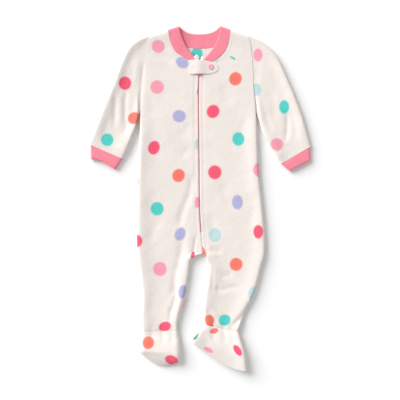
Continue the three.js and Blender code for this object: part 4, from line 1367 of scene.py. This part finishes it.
stitchLook = {"pitch": 3.0, "size": (0.5, 2.1, 0.4), "uneven": 0.1, "rows": (4.2, 9.3), "lift": 0.1}
coverLook = {"pitch": 2.4, "size": (0.55, 1.7, 0.4), "uneven": 0.08, "rows": (0.4, 6.6), "lift": 0.1}


def offsetLine(rows, ends, inset, look, count=120):
    # a line on the cloth that keeps its distance from one edge of a piece
    line = []
    first, last = look["rows"]
    for i in range(count + 1):
        edge, far = edgePoints(rows, first + (last - first) * i / count, *ends)[:2]
        line.append(onCloth(edge + (far - edge).normalized() * inset, look["lift"]))
    return line


zipStitches, neckStitches = [], []
for rows in (frontLeftRows, frontRightRows):
    zipStitches.append(offsetLine(rows, ("inner", "outer"), frontLook["grooveFrom"], stitchLook))
for rows in (bandFrontLeftRows, bandFrontRightRows):
    for inset in (-3.4 * mm, -5.6 * mm):
        neckStitches.append(offsetLine(rows, ("seam", "rim"), inset, coverLook))
zipThread = makeRepeats("zipTopstitch", zipStitches, whiteThread, stitchLook)
neckThread = makeRepeats("neckCoverstitch", neckStitches, whiteThread, coverLook)
print("zip, guard and stitching ready")


# which CAD node each piece stands for, its finish, its cut as width, length and area, and what it lies on

cloth = [
    (frontLeft, "front_left", "fleece", 0.128, 0.58, 0.0592, ["back"]),
    (frontRight, "front_right", "fleece", 0.13, 0.58, 0.0582, ["back"]),
    (back, "back", "fleece", 0.262, 0.58, 0.119, []),
    (sleeveLeft, "sleeve_left", "fleece", 0.27, 0.19, 0.0268, []),
    (sleeveRight, "sleeve_right", "fleece", 0.29, 0.2, 0.0318, []),
    (cuffLeft, "cuff_left", "rib", 0.125, 0.026, 0.0029, []),
    (cuffRight, "cuff_right", "rib", 0.125, 0.021, 0.0025, []),
    (neckband, "neckband", "rib", 0.32, 0.024, 0.007, ["back"]),
    (guard, "zip_guard", "fleece", 0.058, 0.028, 0.00137, ["frontLeft", "frontRight"]),
    (footUpperLeft, "foot_upper_left", "fleece", 0.078, 0.056, 0.0041, ["foot_sole_left"]),
    (footSoleLeft, "foot_sole_left", "fleece", 0.083, 0.073, 0.006, []),
    (footUpperRight, "foot_upper_right", "fleece", 0.15, 0.083, 0.0119, []),
    (footSoleRight, "foot_sole_right", "fleece", 0.1, 0.021, 0.00194, []),
]
for piece, node, slotName, width, length, area, under in cloth:
    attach(piece, "root")
    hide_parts(node)
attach(snap, "root")
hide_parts("snap_cap")
for piece, slotName in ((teeth, "zip_tape"), (zipThread, "fleece"), (neckThread, "fleece")):
    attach(piece, "root")
for name, rows in tapeEndRows.items():
    tapeEnd = makeTapeEnd(name, rows, whiteThread)
    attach(tapeEnd, "root")
tape = tapeMaterial()
for node in ("zip_tape_left", "zip_tape_right"):
    bpy.data.objects[node].material_slots[0].material = tape
sliderPlastic = plasticMaterial("sliderPlastic", (232, 100, 128))
bpy.data.objects["zip_slider"].material_slots[0].material = sliderPlastic
print("pieces placed")
